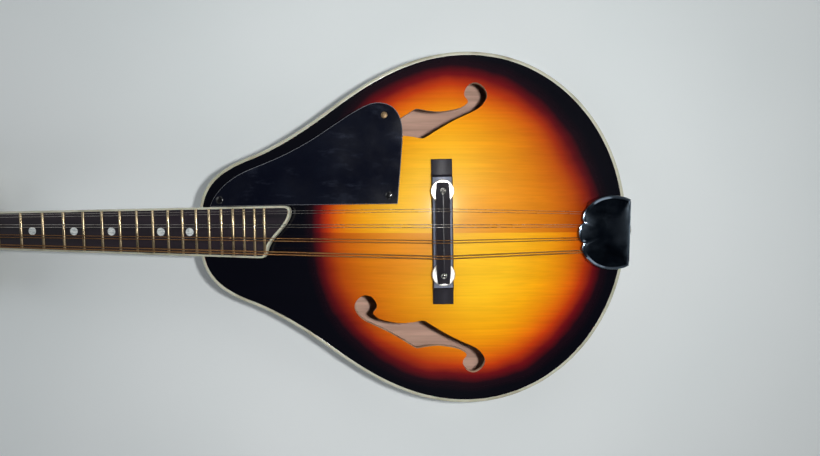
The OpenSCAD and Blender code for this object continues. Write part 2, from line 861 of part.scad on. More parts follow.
module bridge_saddle() {
    color([0.08, 0.06, 0.08])
        on_bridge()
            difference() {
                intersection() {
                    translate([0, saddle_l / 2, 0])
                        rotate([90, 0, 0])
                            linear_extrude(saddle_l)
                                polygon([
                                    [-saddle_w / 2 + 0.4, saddle_low], [saddle_w / 2 - 0.4, saddle_low],
                                    [saddle_w / 2, saddle_low + 4.6], [0.3, saddle_top],
                                    [-0.3, saddle_top], [-saddle_w / 2, saddle_low + 4.6]
                                ]);
                    translate([-9, 0, 0])
                        rotate([90, 0, 90])
                            linear_extrude(18)
                                polygon([
                                    [-saddle_l / 2, saddle_low], [-saddle_l / 2, saddle_low + 3.8],
                                    [-saddle_l / 2 + 14, saddle_top], [saddle_l / 2 - 14, saddle_top],
                                    [saddle_l / 2, saddle_low + 3.8], [saddle_l / 2, saddle_low]
                                ]);
                }
                for (side = [-1, 1])
                    translate([0, side * post_gap / 2, 60]) cylinder(r = stud_r + run_gap, h = 40);
            }
}

// ---- tailpiece -----------------------------------------------------------------

base_low = edge_high + 2.2;
base_t = 1.2;
hook_top = base_low + base_t + 3.6;
flange_x = tail_end + 0.3;
flange_half_w = 13;
flange_low = 20;

module tailpiece_base() {
    color("gainsboro")
        difference() {
            union() {
                translate([290, -22.4, base_low]) cube([flange_x + base_t - 290, 44.8, base_t]);
                translate([flange_x, -flange_half_w, flange_low])
                    cube([base_t, 2 * flange_half_w, base_low + base_t - flange_low]);
                for (i = [0 : 7])
                    translate([hook_x, saddle_y(i) * hook_squeeze, base_low + base_t - 0.1])
                        cylinder(r = 0.75, h = hook_top - base_low - base_t + 0.1);
            }
            tail_screw_holes();
        }
}

// Outline of the cover: three lobes in front, straight sides, square at the tail
cover_side = concat(
    bezier_run([[278.1, 0], [278.2, 3.4], [279.7, 6.2], [281.6, 7.6]], 4),
    bezier_run([[281.6, 7.6], [279.9, 10.2], [280.4, 14.4], [284, 18.4]], 4),
    bezier_run([[284, 18.4], [288.1, 23.8], [294.5, 26.6], [301.3, 27]], 5),
    [[301.3, 27], [307.6, 26.9], [311.1, 26.2], [315.2, 24.4]]
);
cover_outline = concat(
    mirrored(cover_side),
    [for (i = [len(cover_side) - 1 : -1 : 1]) cover_side[i]]
);
cover_low = 62.2;
cover_top = 74.2;
cover_t = 1.1;
module tailpiece_cover() {
    color([0.7, 0.72, 0.75])
        difference() {
            translate([0, 0, cover_low]) linear_extrude(cover_top - cover_low) polygon(cover_outline);
            translate([0, 0, cover_low - 1])
                linear_extrude(cover_top - cover_t - cover_low + 1)
                    polygon(inset(cover_outline, cover_t));
            // Mouth for the strings, and the open tail end
            translate([270, -18.6, cover_low - 1]) cube([22.8, 37.2, 72.2 - cover_low]);
            translate([306.4, -23.2, cover_low - 1])
                cube([30, 46.4, cover_top - cover_t - cover_low + 1]);
        }
}

module tailpiece_screws() {
    color("silver")
        for (s = tail_screws)
            translate([flange_x + base_t, s[0], s[1]]) {
                translate([-s[3], 0, 0]) cylinder_x(s[2], s[3] + 0.5);
                rotate([0, 90, 0]) cylinder(r1 = 2.9, r2 = 1.8, h = 1.3);
            }
}

knob_l = 9;
module strap_button() {
    s = button_screw;
    color("silver")
        translate([flange_x + base_t, s[0], s[1]])
            rotate([0, 90, 0])
                rotate_extrude()
                    polygon([
                        [0, -s[3] + 4], [s[2], -s[3] + 4], [s[2], 0], [5.5, 0], [5.5, 0.9],
                        [3.6, 2.2], [3.6, knob_l - 3.6], [6.6, knob_l - 2.3],
                        [6.6, knob_l - 1.1], [5.4, knob_l], [0, knob_l]
                    ]);
}

// ---- pickguard -------------------------------------------------------------------

guard_top = -1.5;
guard_t = 2;
guard_outline = concat(
    [[66.8, 19.95], [146.9, 21], [149.3, 50.4], [150.4, 67]],
    bezier_run([[150.4, 67], [151, 82], [147, 93], [132, 92.9]], 6),
    bezier_run([[132, 92.9], [122, 92.5], [104, 79], [86, 67.9]], 5),
    bezier_run([[86, 67.9], [64, 55], [52, 51.5], [36, 45]], 5),
    bezier_run([[36, 45], [20, 38.5], [10, 27], [7.6, 18.62]], 5),
    [[7.6, 18.62]]
);
// Screws of the pickguard: [x, y]
guard_screws = [[137.4, 84], [15.2, 23.6], [140.8, 27]];

module pickguard() {
    color([0.03, 0.04, 0.08])
        on_neck()
            difference() {
                translate([0, 0, guard_top - guard_t]) linear_extrude(guard_t) polygon(guard_outline);
                for (p = guard_screws) translate([p[0], p[1], -20]) cylinder(r = 1.3, h = 30);
            }
}

support_r = 3;
module pickguard_supports() {
    color([0.1, 0.1, 0.12])
        for (p = guard_screws) {
            foot = neck_point([p[0], p[1], guard_top - guard_t]);
            low = top_z([foot[0], foot[1]]) + 0.35;
            difference() {
                translate([foot[0], foot[1], low]) cylinder(r = support_r, h = foot[2] - low + 2);
                on_neck() translate([0, 0, guard_top - guard_t - 0.02]) linear_extrude(9) square(400, true);
                on_neck() translate([p[0], p[1], -9.2]) cylinder(r = 1.1, h = 12);
            }
        }
}

module trim_screws() {
    color("silver") {
        on_neck()
            for (p = guard_screws) {
                translate([p[0], p[1], guard_top - 4.6]) cylinder(r = 1, h = 4.7);
                translate([p[0], p[1], guard_top]) cylinder(r1 = 2.3, r2 = 1.5, h = 0.9);
            }
        on_head()
            for (p = cover_screws) {
                translate([p[0], p[1], -3]) cylinder(r = 0.9, h = headplate_t + 1.6 + 3.1);
                translate([p[0], p[1], headplate_t + 1.6]) cylinder(r1 = 1.8, r2 = 1.2, h = 0.8);
            }
    }
}

// ---- assembly --------------------------------------------------------------------

// The model's origin is under the middle of its length, on the surface it lies on
front_end = head_point([-head_l, 0, headplate_t])[0];
back_end = flange_x + base_t + knob_l;
module placed() { translate([-(front_end + back_end) / 2, 0, 0]) children(); }

placed() top_plate();
placed() back_plate();
placed() rim();
placed() head_block();
placed() tail_block();
placed() linings();
placed() tone_bars();
placed() body_binding_top();
placed() body_binding_back();
placed() neck();
placed() fingerboard();
placed() fingerboard_binding();
placed() frets();
placed() inlays();
placed() nut();
placed() truss_rod();
placed() truss_rod_cover();
placed() headplate();
placed() tuner_plate(1);  // tuner_plate_treble
placed() tuner_plate(-1);  // tuner_plate_bass
placed() tuner_bushings();
placed() tuner_screws();
placed() bridge_base();
placed() bridge_posts();
placed() thumbwheel(1);  // thumbwheel_treble
placed() thumbwheel(-1);  // thumbwheel_bass
placed() bridge_saddle();
placed() tailpiece_base();
placed() tailpiece_cover();
placed() tailpiece_screws();
placed() strap_button();
placed() pickguard();
placed() pickguard_supports();
placed() trim_screws();
placed() plain_strings();
placed() wound_strings();
for (k = [0 : 7]) placed() tuner_button(k);
for (k = [0 : 7]) placed() tuner_shaft(k);
for (k = [0 : 7]) placed() string_post(k);
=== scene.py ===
"""Looks for the mandolin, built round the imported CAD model.

Design lengths are in millimetres, in the CAD model's own axes: x counts from the neck joint
towards the tail, y towards the treble side, z out of the top. Matrices take them to metres.
"""

from math import cos, hypot, pi, radians, sin, tan

import bmesh
import bpy
import numpy as np
from mathutils import Matrix, Vector


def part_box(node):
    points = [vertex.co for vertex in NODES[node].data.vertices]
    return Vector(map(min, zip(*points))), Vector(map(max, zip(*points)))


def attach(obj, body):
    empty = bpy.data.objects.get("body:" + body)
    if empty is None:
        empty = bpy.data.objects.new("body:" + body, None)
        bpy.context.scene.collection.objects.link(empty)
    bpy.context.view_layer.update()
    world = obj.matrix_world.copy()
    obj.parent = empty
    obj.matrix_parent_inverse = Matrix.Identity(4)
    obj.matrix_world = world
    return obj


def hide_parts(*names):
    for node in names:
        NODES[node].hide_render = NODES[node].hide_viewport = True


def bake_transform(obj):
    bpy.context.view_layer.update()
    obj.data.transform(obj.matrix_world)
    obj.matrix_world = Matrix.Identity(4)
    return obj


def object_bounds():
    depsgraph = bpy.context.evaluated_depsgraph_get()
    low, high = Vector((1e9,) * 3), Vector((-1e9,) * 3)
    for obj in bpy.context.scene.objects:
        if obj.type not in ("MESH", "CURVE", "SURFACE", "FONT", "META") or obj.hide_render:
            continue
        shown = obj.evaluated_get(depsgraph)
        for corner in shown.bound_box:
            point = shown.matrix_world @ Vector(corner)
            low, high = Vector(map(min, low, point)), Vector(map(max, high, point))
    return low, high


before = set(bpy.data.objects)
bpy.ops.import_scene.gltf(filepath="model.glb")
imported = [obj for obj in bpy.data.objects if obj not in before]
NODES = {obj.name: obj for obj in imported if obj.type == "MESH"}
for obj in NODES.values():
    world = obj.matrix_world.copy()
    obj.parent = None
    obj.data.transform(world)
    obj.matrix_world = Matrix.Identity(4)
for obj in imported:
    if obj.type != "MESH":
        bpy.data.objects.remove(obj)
cad_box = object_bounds()

# ---- driving dimensions, millimetres ----

BODY_END = -2.5
BODY_L = 320.5
TAIL_END = BODY_END + BODY_L
HALF_W = 132.3
EDGE_LOW, EDGE_HIGH = 11.0, 59.0
TOP_ARCH, BACK_ARCH = 9.0, 11.0
PLATE_T = 3.5
SIDE_T = 3.0
BINDING_W = 2.4
ARCH_MID = (175.0, 0.0)
NECK_ANGLE, HEAD_ANGLE = 4.2, 10.0
BOARD_Z = EDGE_HIGH + 6.5
BOARD_T = 5.0
BOARD_BINDING = 1.5
BOARD_END = 68.2
NUT_X = -178.3
NUT_W = 28.3
BOARD_TAPER = 0.0223
SCALE_L = 352.0
HEAD_L, HEAD_T = 140.0, 13.5
HEADPLATE_T = 1.5
BRIDGE_X, BRIDGE_TURN = 179.3, 1.0
POST_GAP = 60.4
PITCH = 23.0
TUNER_U = [-34 - k * PITCH for k in range(4)]
TUNER_V = 17.0
WORM_OFFSET = 9.4
AXIS_Z = -HEAD_T - 1.2 - 3.4

# ---- frames ----

MM = 0.001
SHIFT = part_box("rim")[0][0] / MM - BODY_END
BODY = Matrix.Scale(MM, 4) @ Matrix.Translation((SHIFT, 0, 0))
def moved(x, y, z):
    return Matrix.Translation((x, y, z))


def turned(degrees, axis):
    return Matrix.Rotation(radians(degrees), 4, axis)


NECK = BODY @ moved(0, 0, BOARD_Z) @ turned(-NECK_ANGLE, "Y")
HEAD = NECK @ moved(NUT_X, 0, -BOARD_T) @ turned(-HEAD_ANGLE, "Y")
BRIDGE = BODY @ moved(BRIDGE_X, 0, 0) @ turned(BRIDGE_TURN, "Z")


# ---- colour and material helpers ----


def rgb(code):
    """A linear colour from a hex code."""
    parts = [int(code[i : i + 2], 16) / 255 for i in (0, 2, 4)]
    return [c / 12.92 if c < 0.04045 else ((c + 0.055) / 1.055) ** 2.4 for c in parts] + [1.0]


class Shader:
    """A material under construction: short calls that add and join nodes."""

    def __init__(self, name):
        self.material = bpy.data.materials.new(name)
        self.material.use_nodes = True
        self.tree = self.material.node_tree
        self.surface = self.tree.nodes["Principled BSDF"]
        self.place = self.tree.nodes.new("ShaderNodeTexCoord").outputs["Object"]

    def node(self, kind, inputs=(), **settings):
        node = self.tree.nodes.new("ShaderNode" + kind)
        for key, value in settings.items():
            setattr(node, key, value)
        for key, value in dict(inputs).items():
            self.plug(node.inputs[key], value)
        return node

    def plug(self, socket, value):
        if isinstance(value, bpy.types.NodeSocket):
            self.tree.links.new(value, socket)
        else:
            socket.default_value = rgb(value) if isinstance(value, str) else value

    def set(self, **values):
        for key, value in values.items():
            self.plug(self.surface.inputs[key.replace("_", " ")], value)

    def noise(self, scale, detail=3.0, stretch=(1, 1, 1), roughness=0.55):
        place = self.node("Mapping", {"Vector": self.place, "Scale": stretch}).outputs["Vector"]
        inputs = {"Vector": place, "Scale": scale, "Detail": detail, "Roughness": roughness}
        return self.node("TexNoise", inputs).outputs["Fac"]

    def attribute(self, name):
        return self.node("Attribute", attribute_name=name).outputs["Fac"]

    def span(self, value, low, high, to_low=0.0, to_high=1.0):
        names = ("Value", "From Min", "From Max", "To Min", "To Max")
        inputs = zip(names, (value, low, high, to_low, to_high))
        return self.node("MapRange", inputs).outputs["Result"]

    def maths(self, operation, a, b=0.0):
        return self.node("Math", {0: a, 1: b}, operation=operation).outputs[0]

    def ramp(self, value, stops):
        node = self.node("ValToRGB", {"Fac": value})
        elements = node.color_ramp.elements
        while len(elements) < len(stops):
            elements.new(0.5)
        for element, (at, colour) in zip(elements, stops):
            element.position = at
            element.color = rgb(colour)
        return node.outputs["Color"]

    def mix(self, factor, a, b, blend="MIX"):
        node = self.node("Mix", data_type="RGBA", blend_type=blend)
        self.plug(node.inputs["Factor"], factor)
        self.plug(node.inputs["A"], a)
        self.plug(node.inputs["B"], b)
        return node.outputs["Result"]

    def tones(self, value, first, second, low=0.3, high=0.7):
        """Blends two hex colours as the value goes from low to high."""
        return self.mix(self.span(value, low, high), first, second)

    def bump(self, height, strength, distance=0.0002):
        inputs = {"Height": height, "Strength": strength, "Distance": distance}
        self.set(Normal=self.node("Bump", inputs).outputs["Normal"])


def wood_figure(s, fine, fine_scale=(6, 620, 620), wide_scale=(5, 60, 60)):
    """Long streaks along x as a brightness factor round 1."""
    streaks = s.noise(1.0, 4.0, fine_scale)
    bands = s.noise(1.0, 2.0, wide_scale)
    both = s.maths("ADD", s.span(streaks, 0.3, 0.7, -fine, fine), s.span(bands, 0.3, 0.7, -fine, fine))
    return s.maths("ADD", both, 1.0)


def times(s, colour, factor):
    """A colour multiplied by a brightness factor."""
    grey = s.node("CombineColor", {"Red": factor, "Green": factor, "Blue": factor})
    return s.mix(1.0, colour, grey.outputs["Color"], "MULTIPLY")


def scratches(s, amount):
    """Sparse short hairlines as a height, for rubbed gloss surfaces."""
    lines = s.noise(1.0, 2.0, (60, 1400, 1400))
    patches = s.noise(28.0, 2.0)
    sparse = s.maths("MULTIPLY", s.span(lines, 0.62, 0.72), s.span(patches, 0.5, 0.7))
    return s.maths("MULTIPLY", sparse, amount)


def lacquer(s, roughness, coat_roughness):
    s.set(Roughness=roughness, Coat_Weight=1.0, Coat_Roughness=coat_roughness)
    s.set(Specular_IOR_Level=0.12)


def top_material():
    """Sunburst spruce under gloss lacquer: colour by how far out the point lies."""
    s = Shader("sunburst_top")
    burst = s.attribute("burst")
    wander = s.span(s.noise(26.0, 3.0), 0.3, 0.7, -0.012, 0.012)
    burst = s.maths("ADD", burst, wander)
    bright = s.ramp(
        s.maths("MULTIPLY", burst, 0.8),
        [
            (0.0, "F8C02C"), (0.34, "F9BE20"), (0.5, "F4A80E"),
            (0.59, "EC8E08"), (0.655, "E26A08"), (0.705, "C23A0A"),
            (0.755, "6E0C12"), (0.80, "1C0610"), (0.85, "04040C"),
        ],
    )
    deep = s.ramp(
        s.maths("MULTIPLY", burst, 0.8),
        [
            (0.0, "E69C3A"), (0.3, "DE8420"), (0.48, "CC6C10"),
            (0.57, "BE5A0C"), (0.65, "AA440A"), (0.71, "84240E"),
            (0.755, "540D12"), (0.80, "16060F"), (0.85, "04040C"),
        ],
    )
    across = s.node("SeparateXYZ", {"Vector": s.place}).outputs["Y"]
    upper = s.span(across, -0.0007, -0.0003)
    glow = s.node("Mix", data_type="FLOAT")
    s.plug(glow.inputs["Factor"], upper)
    s.plug(glow.inputs["A"], s.attribute("glow_low"))
    s.plug(glow.inputs["B"], s.attribute("glow_high"))
    colour = s.mix(glow.outputs["Result"], deep, bright)
    s.set(Base_Color=times(s, colour, wood_figure(s, 0.07)))
    lacquer(s, 0.34, 0.09)
    s.bump(s.maths("ADD", scratches(s, 0.5), s.noise(9.0, 2.0, (1, 12, 12))), 0.12, 0.0002)
    return s.material


def back_material():
    """Dark red-brown back, shaded to near black at the edge."""
    s = Shader("shaded_back")
    burst = s.attribute("burst")
    colour = s.ramp(
        s.maths("MULTIPLY", burst, 0.8),
        [
            (0.0, "7A3214"), (0.35, "6A2810"), (0.6, "4A170C"),
            (0.72, "270B0A"), (0.82, "0A0507"),
        ],
    )
    s.set(Base_Color=times(s, colour, wood_figure(s, 0.13, (9, 260, 260), (4, 45, 45))))
    lacquer(s, 0.36, 0.1)
    s.bump(scratches(s, 0.6), 0.15)
    return s.material


def dark_lacquer(name, light, dark, grain=0.25):
    """Near-black or deep brown wood under gloss lacquer."""
    s = Shader(name)
    base = s.tones(s.noise(7.0, 3.0, (1, 8, 8)), dark, light)
    s.set(Base_Color=times(s, base, wood_figure(s, grain, (9, 420, 420))))
    lacquer(s, 0.32, 0.08)
    s.bump(scratches(s, 0.6), 0.15)
    return s.material


def bare_wood(name, light, dark):
    s = Shader(name)
    base = s.tones(s.noise(12.0, 4.0, (1, 14, 14)), dark, light)
    s.set(Base_Color=times(s, base, wood_figure(s, 0.1, (14, 500, 500))), Roughness=0.75)
    s.bump(s.noise(1.0, 4.0, (30, 1500, 1500)), 0.3, 0.0001)
    return s.material


def binding_material():
    """Aged cream plastic with a little grime."""
    s = Shader("aged_binding")
    colour = s.tones(s.noise(45.0, 4.0), "BBBAA6", "8E8A72", 0.48, 0.74)
    s.set(Base_Color=colour, Roughness=0.36, Coat_Weight=0.5, Coat_Roughness=0.15)
    s.set(Subsurface_Weight=0.08, Subsurface_Scale=0.002)
    s.bump(s.noise(500.0, 3.0), 0.08, 0.0001)
    return s.material


def board_material():
    """Dark close-grained board with open pores, worn smooth."""
    s = Shader("dark_board")
    base = s.tones(s.noise(5.0, 3.0, (2, 30, 30)), "110D14", "2A2028")
    pores = s.span(s.noise(1.0, 2.0, (160, 2600, 2600)), 0.63, 0.7)
    s.set(Base_Color=s.mix(pores, base, "060507"), Specular_IOR_Level=0.35)
    s.set(Roughness=s.span(s.noise(60.0, 3.0), 0.3, 0.7, 0.38, 0.52))
    s.bump(s.maths("SUBTRACT", 1.0, pores), 0.35, 0.0001)
    return s.material


def metal(name, colour, tarnish_and_painted_tone, roughness=0.12, rough_spread=0.12, bump=0.04):
    """Plated or drawn metal: smudges in its gloss, tarnish in its colour, fine marks. On the tailpiece
    cover both tones are a painted dark reflection, not tarnish.
    """
    s = Shader(name)
    s.set(Base_Color=s.tones(s.noise(90.0, 4.0), colour, tarnish_and_painted_tone, 0.5, 0.75), Metallic=1.0)
    smudge = s.span(s.noise(60.0, 4.0), 0.35, 0.7, roughness, roughness + rough_spread)
    s.set(Roughness=smudge)
    s.bump(s.noise(1.0, 2.0, (500, 2600, 2600)), bump, 0.0001)
    return s.material


def wound_material():
    """Bronze winding: fine turns as a ridge pattern along the string."""
    s = Shader("wound_bronze")
    turns = s.node("TexWave", {"Vector": s.place, "Scale": 560.0, "Distortion": 0.0})
    turns.bands_direction = "X"
    shade = s.mix(turns.outputs["Fac"], "5A3A1E", "B98A58")
    s.set(Base_Color=shade, Metallic=1.0, Roughness=0.32)
    s.bump(turns.outputs["Fac"], 0.9, 0.0001)
    return s.material


def ebony_material(name="bridge_ebony", dark="0E0C12", light="221E28"):
    s = Shader(name)
    base = s.tones(s.noise(8.0, 3.0, (14, 1, 14)), dark, light)
    pores = s.span(s.noise(1.0, 2.0, (2200, 160, 2200)), 0.64, 0.71)
    s.set(Base_Color=s.mix(pores, base, "050406"))
    s.set(Roughness=s.span(s.noise(70.0, 3.0), 0.3, 0.7, 0.34, 0.5), Specular_IOR_Level=0.38)
    s.bump(s.maths("SUBTRACT", 1.0, pores), 0.3, 0.0001)
    return s.material


def plastic(name, colour, second, roughness=0.2, dust=0.0):
    """Gloss plastic with swirls of a second tone and, if wanted, a light haze of rubbing."""
    s = Shader(name)
    base = s.tones(s.noise(38.0, 4.0), colour, second, 0.42, 0.68)
    haze = s.span(s.noise(1.0, 5.0, (34, 90, 34), 0.7), 0.55, 0.78, 0.0, dust)
    s.set(Base_Color=s.mix(haze, base, "5A6276"))
    s.set(Roughness=s.span(s.noise(34.0, 4.0), 0.3, 0.75, roughness, roughness + 0.16))
    s.set(Coat_Weight=0.3, Coat_Roughness=0.1)
    s.bump(scratches(s, 1.0), 0.12)
    return s.material


def pearl_material(name="pearl_dot", light="E4E8E4", dark="A9B2B4"):
    s = Shader(name)
    s.set(Base_Color=s.tones(s.noise(420.0, 2.0, (1, 2.4, 1)), dark, light, 0.35, 0.65))
    s.set(Roughness=0.22, Coat_Weight=0.8, Coat_Roughness=0.06)
    return s.material


M = {
    "top": top_material(),
    "back": back_material(),
    "side": dark_lacquer("side_lacquer", "150B10", "06050A"),
    "neck": dark_lacquer("neck_lacquer", "2A0F0B", "120708", 0.3),
    "head_face": dark_lacquer("head_lacquer", "0B0A0F", "050508"),
    "inner": bare_wood("inner_wood", "DDB5A0", "BE9684"),
    "inner_pale": bare_wood("inner_spruce", "D8B98C", "B58F62"),
    "raw_edge": bare_wood("raw_edge", "E8C8A8", "8A5A3C"),
    "binding": binding_material(),
    "board": board_material(),
    "fret": metal("fret_brass", "BBA886", "8A7A5C", 0.24, 0.15),
    "pearl": pearl_material(),
    "bone": plastic("bone_nut", "E2DBC2", "CFC5A4", 0.3),
    "nickel": metal("nickel_plate", "C6C3BC", "8E8A80", 0.08, 0.14),
    # The cover's dark, blue-grey tones are a painted reflection of a dark room in its polished plating,
    # not its own colour.
    "cover": metal("cover_nickel_painted_dark_reflection", "66727E", "303A46", 0.1, 0.12),
    # The thumbwheels' near-white tones, whiter than the other nickel, are painted glare of the light on
    # the wheels.
    "bright": metal("glare_white_nickel", "F2F2EE", "D8D6CE", 0.38, 0.1),
    "steel": metal("plain_steel", "B8B9BA", "7C7A78", 0.24, 0.14),
    "string": metal("string_steel", "BDB8B0", "8A7D6C", 0.22, 0.12),
    "wound": wound_material(),
    "old_brass": metal("old_brass", "8A7458", "4A3E34", 0.42, 0.2),
    "brass": metal("gear_brass", "C09A54", "86683A", 0.24, 0.16),
    "ebony": ebony_material(),
    # Grey-blue ebony for the bridge foot's upward faces: painted sheen of light on the wood, not wear.
    "sheen_painted_ebony": ebony_material("sheen_painted_ebony", "626878", "787E90"),
    "guard": plastic("guard_black", "090B16", "0E111C", 0.12, 0.16),
    "guard_edge": plastic("guard_edge", "6E7078", "55565E", 0.3),
    "black": plastic("black_plastic", "08080C", "0E0E13", 0.16),
    "button": pearl_material("button_pearloid", "E6DFC6", "C9BD9A"),
    "dark": plastic("dark_marker", "0A0A0A", "121212", 0.4),
}

# ---- mesh helpers ----


class Shape:
    """Points and faces being gathered, each face with the number of its material."""

    def __init__(self):
        self.points, self.faces, self.kinds = [], [], []

    def add(self, points, faces, matrix=Matrix.Identity(4), kind=0):
        start = len(self.points)
        self.points += [matrix @ Vector(p) for p in points]
        self.faces += [[start + i for i in f] for f in faces]
        self.kinds += [kind] * len(faces)
        return self

    def loft(self, rings, matrix=Matrix.Identity(4), kind=0, caps=True, loop=False):
        """Skins a list of rings of equal length; loop joins the last ring to the first."""
        n, faces = len(rings[0]), []
        for k in range(len(rings) if loop else len(rings) - 1):
            a0, b0 = k * n, ((k + 1) % len(rings)) * n
            for i in range(n):
                j = (i + 1) % n
                faces.append([a0 + i, a0 + j, b0 + j, b0 + i])
        if caps and not loop:
            faces.append(list(range(n))[::-1])
            faces.append([(len(rings) - 1) * n + i for i in range(n)])
        return self.add([p for ring in rings for p in ring], faces, matrix, kind)

    def lathe(self, profile, matrix=Matrix.Identity(4), kind=0, steps=48, ripple=None, loop=False):
        """Turns (radius, height) pairs about z. ripple(angle, radius) may change a radius."""
        angles = [2 * pi * i / steps for i in range(steps)]
        rings = []
        for r, z in profile:
            radii = [ripple(a, r) if ripple else r for a in angles]
            rings.append([(q * cos(a), q * sin(a), z) for a, q in zip(angles, radii)])
        return self.loft(rings, matrix, kind, caps=not loop, loop=loop)

    def copy(self, mesh, matrix, kind=0):
        faces = [list(p.vertices) for p in mesh.polygons]
        return self.add([tuple(v.co) for v in mesh.vertices], faces, matrix, kind)

    def tube(self, path, r, matrix=Matrix.Identity(4), kind=0, sides=10, loop=False):
        """A round wire of radius r through the path's points."""
        rings, side = [], None
        pts = [Vector(p) for p in path]
        for k, p in enumerate(pts):
            before = pts[k - 1] if k or loop else p
            after = pts[(k + 1) % len(pts)] if k + 1 < len(pts) or loop else p
            ahead = (after - before).normalized()
            if side is None:
                side = ahead.cross(Vector((0, 0, 1)))
                if side.length < 0.2:
                    side = ahead.cross(Vector((0, 1, 0)))
            side = (side - side.dot(ahead) * ahead).normalized()
            up = ahead.cross(side)
            angles = (2 * pi * i / sides for i in range(sides))
            rings.append([p + r * (cos(a) * side + sin(a) * up) for a in angles])
        return self.loft(rings, matrix, kind, loop=loop)

    def mesh(self, name, merge=1e-7):
        mesh = bpy.data.meshes.new(name)
        mesh.from_pydata([tuple(p) for p in self.points], [], self.faces)
        mesh.polygons.foreach_set("material_index", self.kinds)
        bm = bmesh.new()
        bm.from_mesh(mesh)
        bmesh.ops.remove_doubles(bm, verts=bm.verts, dist=merge)
        bmesh.ops.dissolve_degenerate(bm, edges=bm.edges, dist=merge)
        bmesh.ops.recalc_face_normals(bm, faces=bm.faces)
        bm.to_mesh(mesh)
        bm.free()
        return mesh


def placed(name, data):
    """A new object in the scene."""
    thing = bpy.data.objects.new(name, data)
    bpy.context.scene.collection.objects.link(thing)
    return thing


def shade(mesh, sharp=32.0):
    mesh.polygons.foreach_set("use_smooth", [True] * len(mesh.polygons))
    mesh.set_sharp_from_angle(angle=radians(sharp))


def finish_piece(name, mesh, materials, slot, body="instrument", stands_for=(), sharp=32.0, bevel=0.0):
    """Puts a mesh in the scene with its materials, edges and body, and hides the nodes it stands for."""
    piece = placed(name, mesh)
    for key in materials:
        mesh.materials.append(M[key])
    shade(mesh, sharp)
    if bevel:
        add_bevel(piece, bevel)
    if body:
        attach(piece, body)
    if stands_for:
        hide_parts(*stands_for)
    return piece


def make(name, shape, materials, slot, **options):
    return finish_piece(name, shape.mesh(name), materials, slot, **options)


def add_bevel(piece, width):
    bevel = piece.modifiers.new("soft_edges", "BEVEL")
    bevel.width = width * MM
    bevel.segments = 2
    bevel.limit_method = "ANGLE"
    bevel.angle_limit = radians(38)
    bevel.use_clamp_overlap = True
    bevel.harden_normals = False


def dress(node, material, bevel=0.25, sharp=32.0):
    """Gives a CAD node its real material, joined faces and softened edges."""
    piece = NODES[node]
    piece.data.materials.clear()
    piece.data.materials.append(M[material])
    weld = piece.modifiers.new("join_faces", "WELD")
    weld.merge_threshold = 1e-6
    if bevel:
        add_bevel(piece, bevel)
    shade(piece.data, sharp)


def cut(mesh, cutter):
    """The mesh with the cutter's volume taken out of it."""
    target, tool = placed("cut_target", mesh), placed("cut_tool", cutter)
    change = target.modifiers.new("cut", "BOOLEAN")
    change.object = tool
    change.operation = "DIFFERENCE"
    change.solver = "EXACT"
    graph = bpy.context.evaluated_depsgraph_get()
    result = bpy.data.meshes.new_from_object(target.evaluated_get(graph))
    bpy.data.objects.remove(target)
    bpy.data.objects.remove(tool)
    result.materials.clear()
    return result


# ---- outlines ----


def bezier(p, n):
    """n points along a cubic, without its last one."""
    out = []
    for i in range(n):
        t = i / n
        w = ((1 - t) ** 3, 3 * t * (1 - t) ** 2, 3 * t * t * (1 - t), t**3)
        out.append(tuple(sum(w[k] * p[k][c] for k in range(4)) for c in (0, 1)))
    return out


def inset(points, d):
    """A closed anticlockwise outline moved inwards by d, with mitred corners."""
    out, n = [], len(points)
    for i, p in enumerate(points):
        a, b = points[i - 1], points[(i + 1) % n]
        before = Vector((a[1] - p[1], p[0] - a[0])).normalized()
        after = Vector((p[1] - b[1], b[0] - p[0])).normalized()
        middle = (before + after).normalized()
        move = middle * (d / middle.dot(before))
        out.append((p[0] + move[0], p[1] + move[1]))
    return out


def lifted(points, z):
    return [(p[0], p[1], z) for p in points]


def shrunk(points, mid, t, z):
    """The outline at height z, moved by the share t of the way to its middle."""
    return [(mid[0] + (1 - t) * (x - mid[0]), mid[1] + (1 - t) * (y - mid[1]), z) for x, y in points]


def both_sides(half, y):
    """A ring across the bridge at y from its right half's (x, z), bottom to top."""
    return [(x, y, z) for x, z in half] + [(-x, y, z) for x, z in half[::-1]]


body_half = (
    bezier([(BODY_END, 15), (-0.5, 36), (12, 47), (38, 56.5)], 22)
    + bezier([(38, 56.5), (60, 65.7), (80, 79.2), (98, 92.5)], 16)
    + bezier([(98, 92.5), (128, 114.7), (160, HALF_W), (198, HALF_W)], 28)
    + bezier([(198, HALF_W), (265, HALF_W), (TAIL_END, 74), (TAIL_END, 0)], 46)
)
body_edge = [(x, -y) for x, y in body_half] + [(TAIL_END, 0.0)] + body_half[::-1]
plate_edge = inset(body_edge, BINDING_W)


def clamp(value):
    return min(1.0, max(0.0, value))


def bent(value, power):
    """The value's size to a power, with its own sign."""
    return abs(value) ** power * (1 if value > 0 else -1)


def rise(t):
    """Height of the arch between its hollow edge, 0, and its middle, 1."""
    u = max(0.0, t) ** 0.85
    return u * u * (3 - 2 * u)


INNER_MARGIN = 0.06


def inner_rise(t):
    return rise((t - INNER_MARGIN) / (1 - INNER_MARGIN))


def edge_shares(points):
    """For each point, its share of the way from the middle of the arch out to the edge."""
    mid = np.array(ARCH_MID)
    edge = np.array(plate_edge) - mid
    angles = np.arctan2(edge[:, 1], edge[:, 0])
    order = np.argsort(angles)
    reach = np.hypot(edge[:, 0], edge[:, 1])
    p = np.array(points, float) - mid
    at = np.arctan2(p[:, 1], p[:, 0])
    span = np.interp(at, angles[order], reach[order], period=2 * pi)
    return np.hypot(p[:, 0], p[:, 1]) / span


def top_z(x, y):
    return EDGE_HIGH + TOP_ARCH * rise(1 - float(edge_shares([(x, y)])[0]))


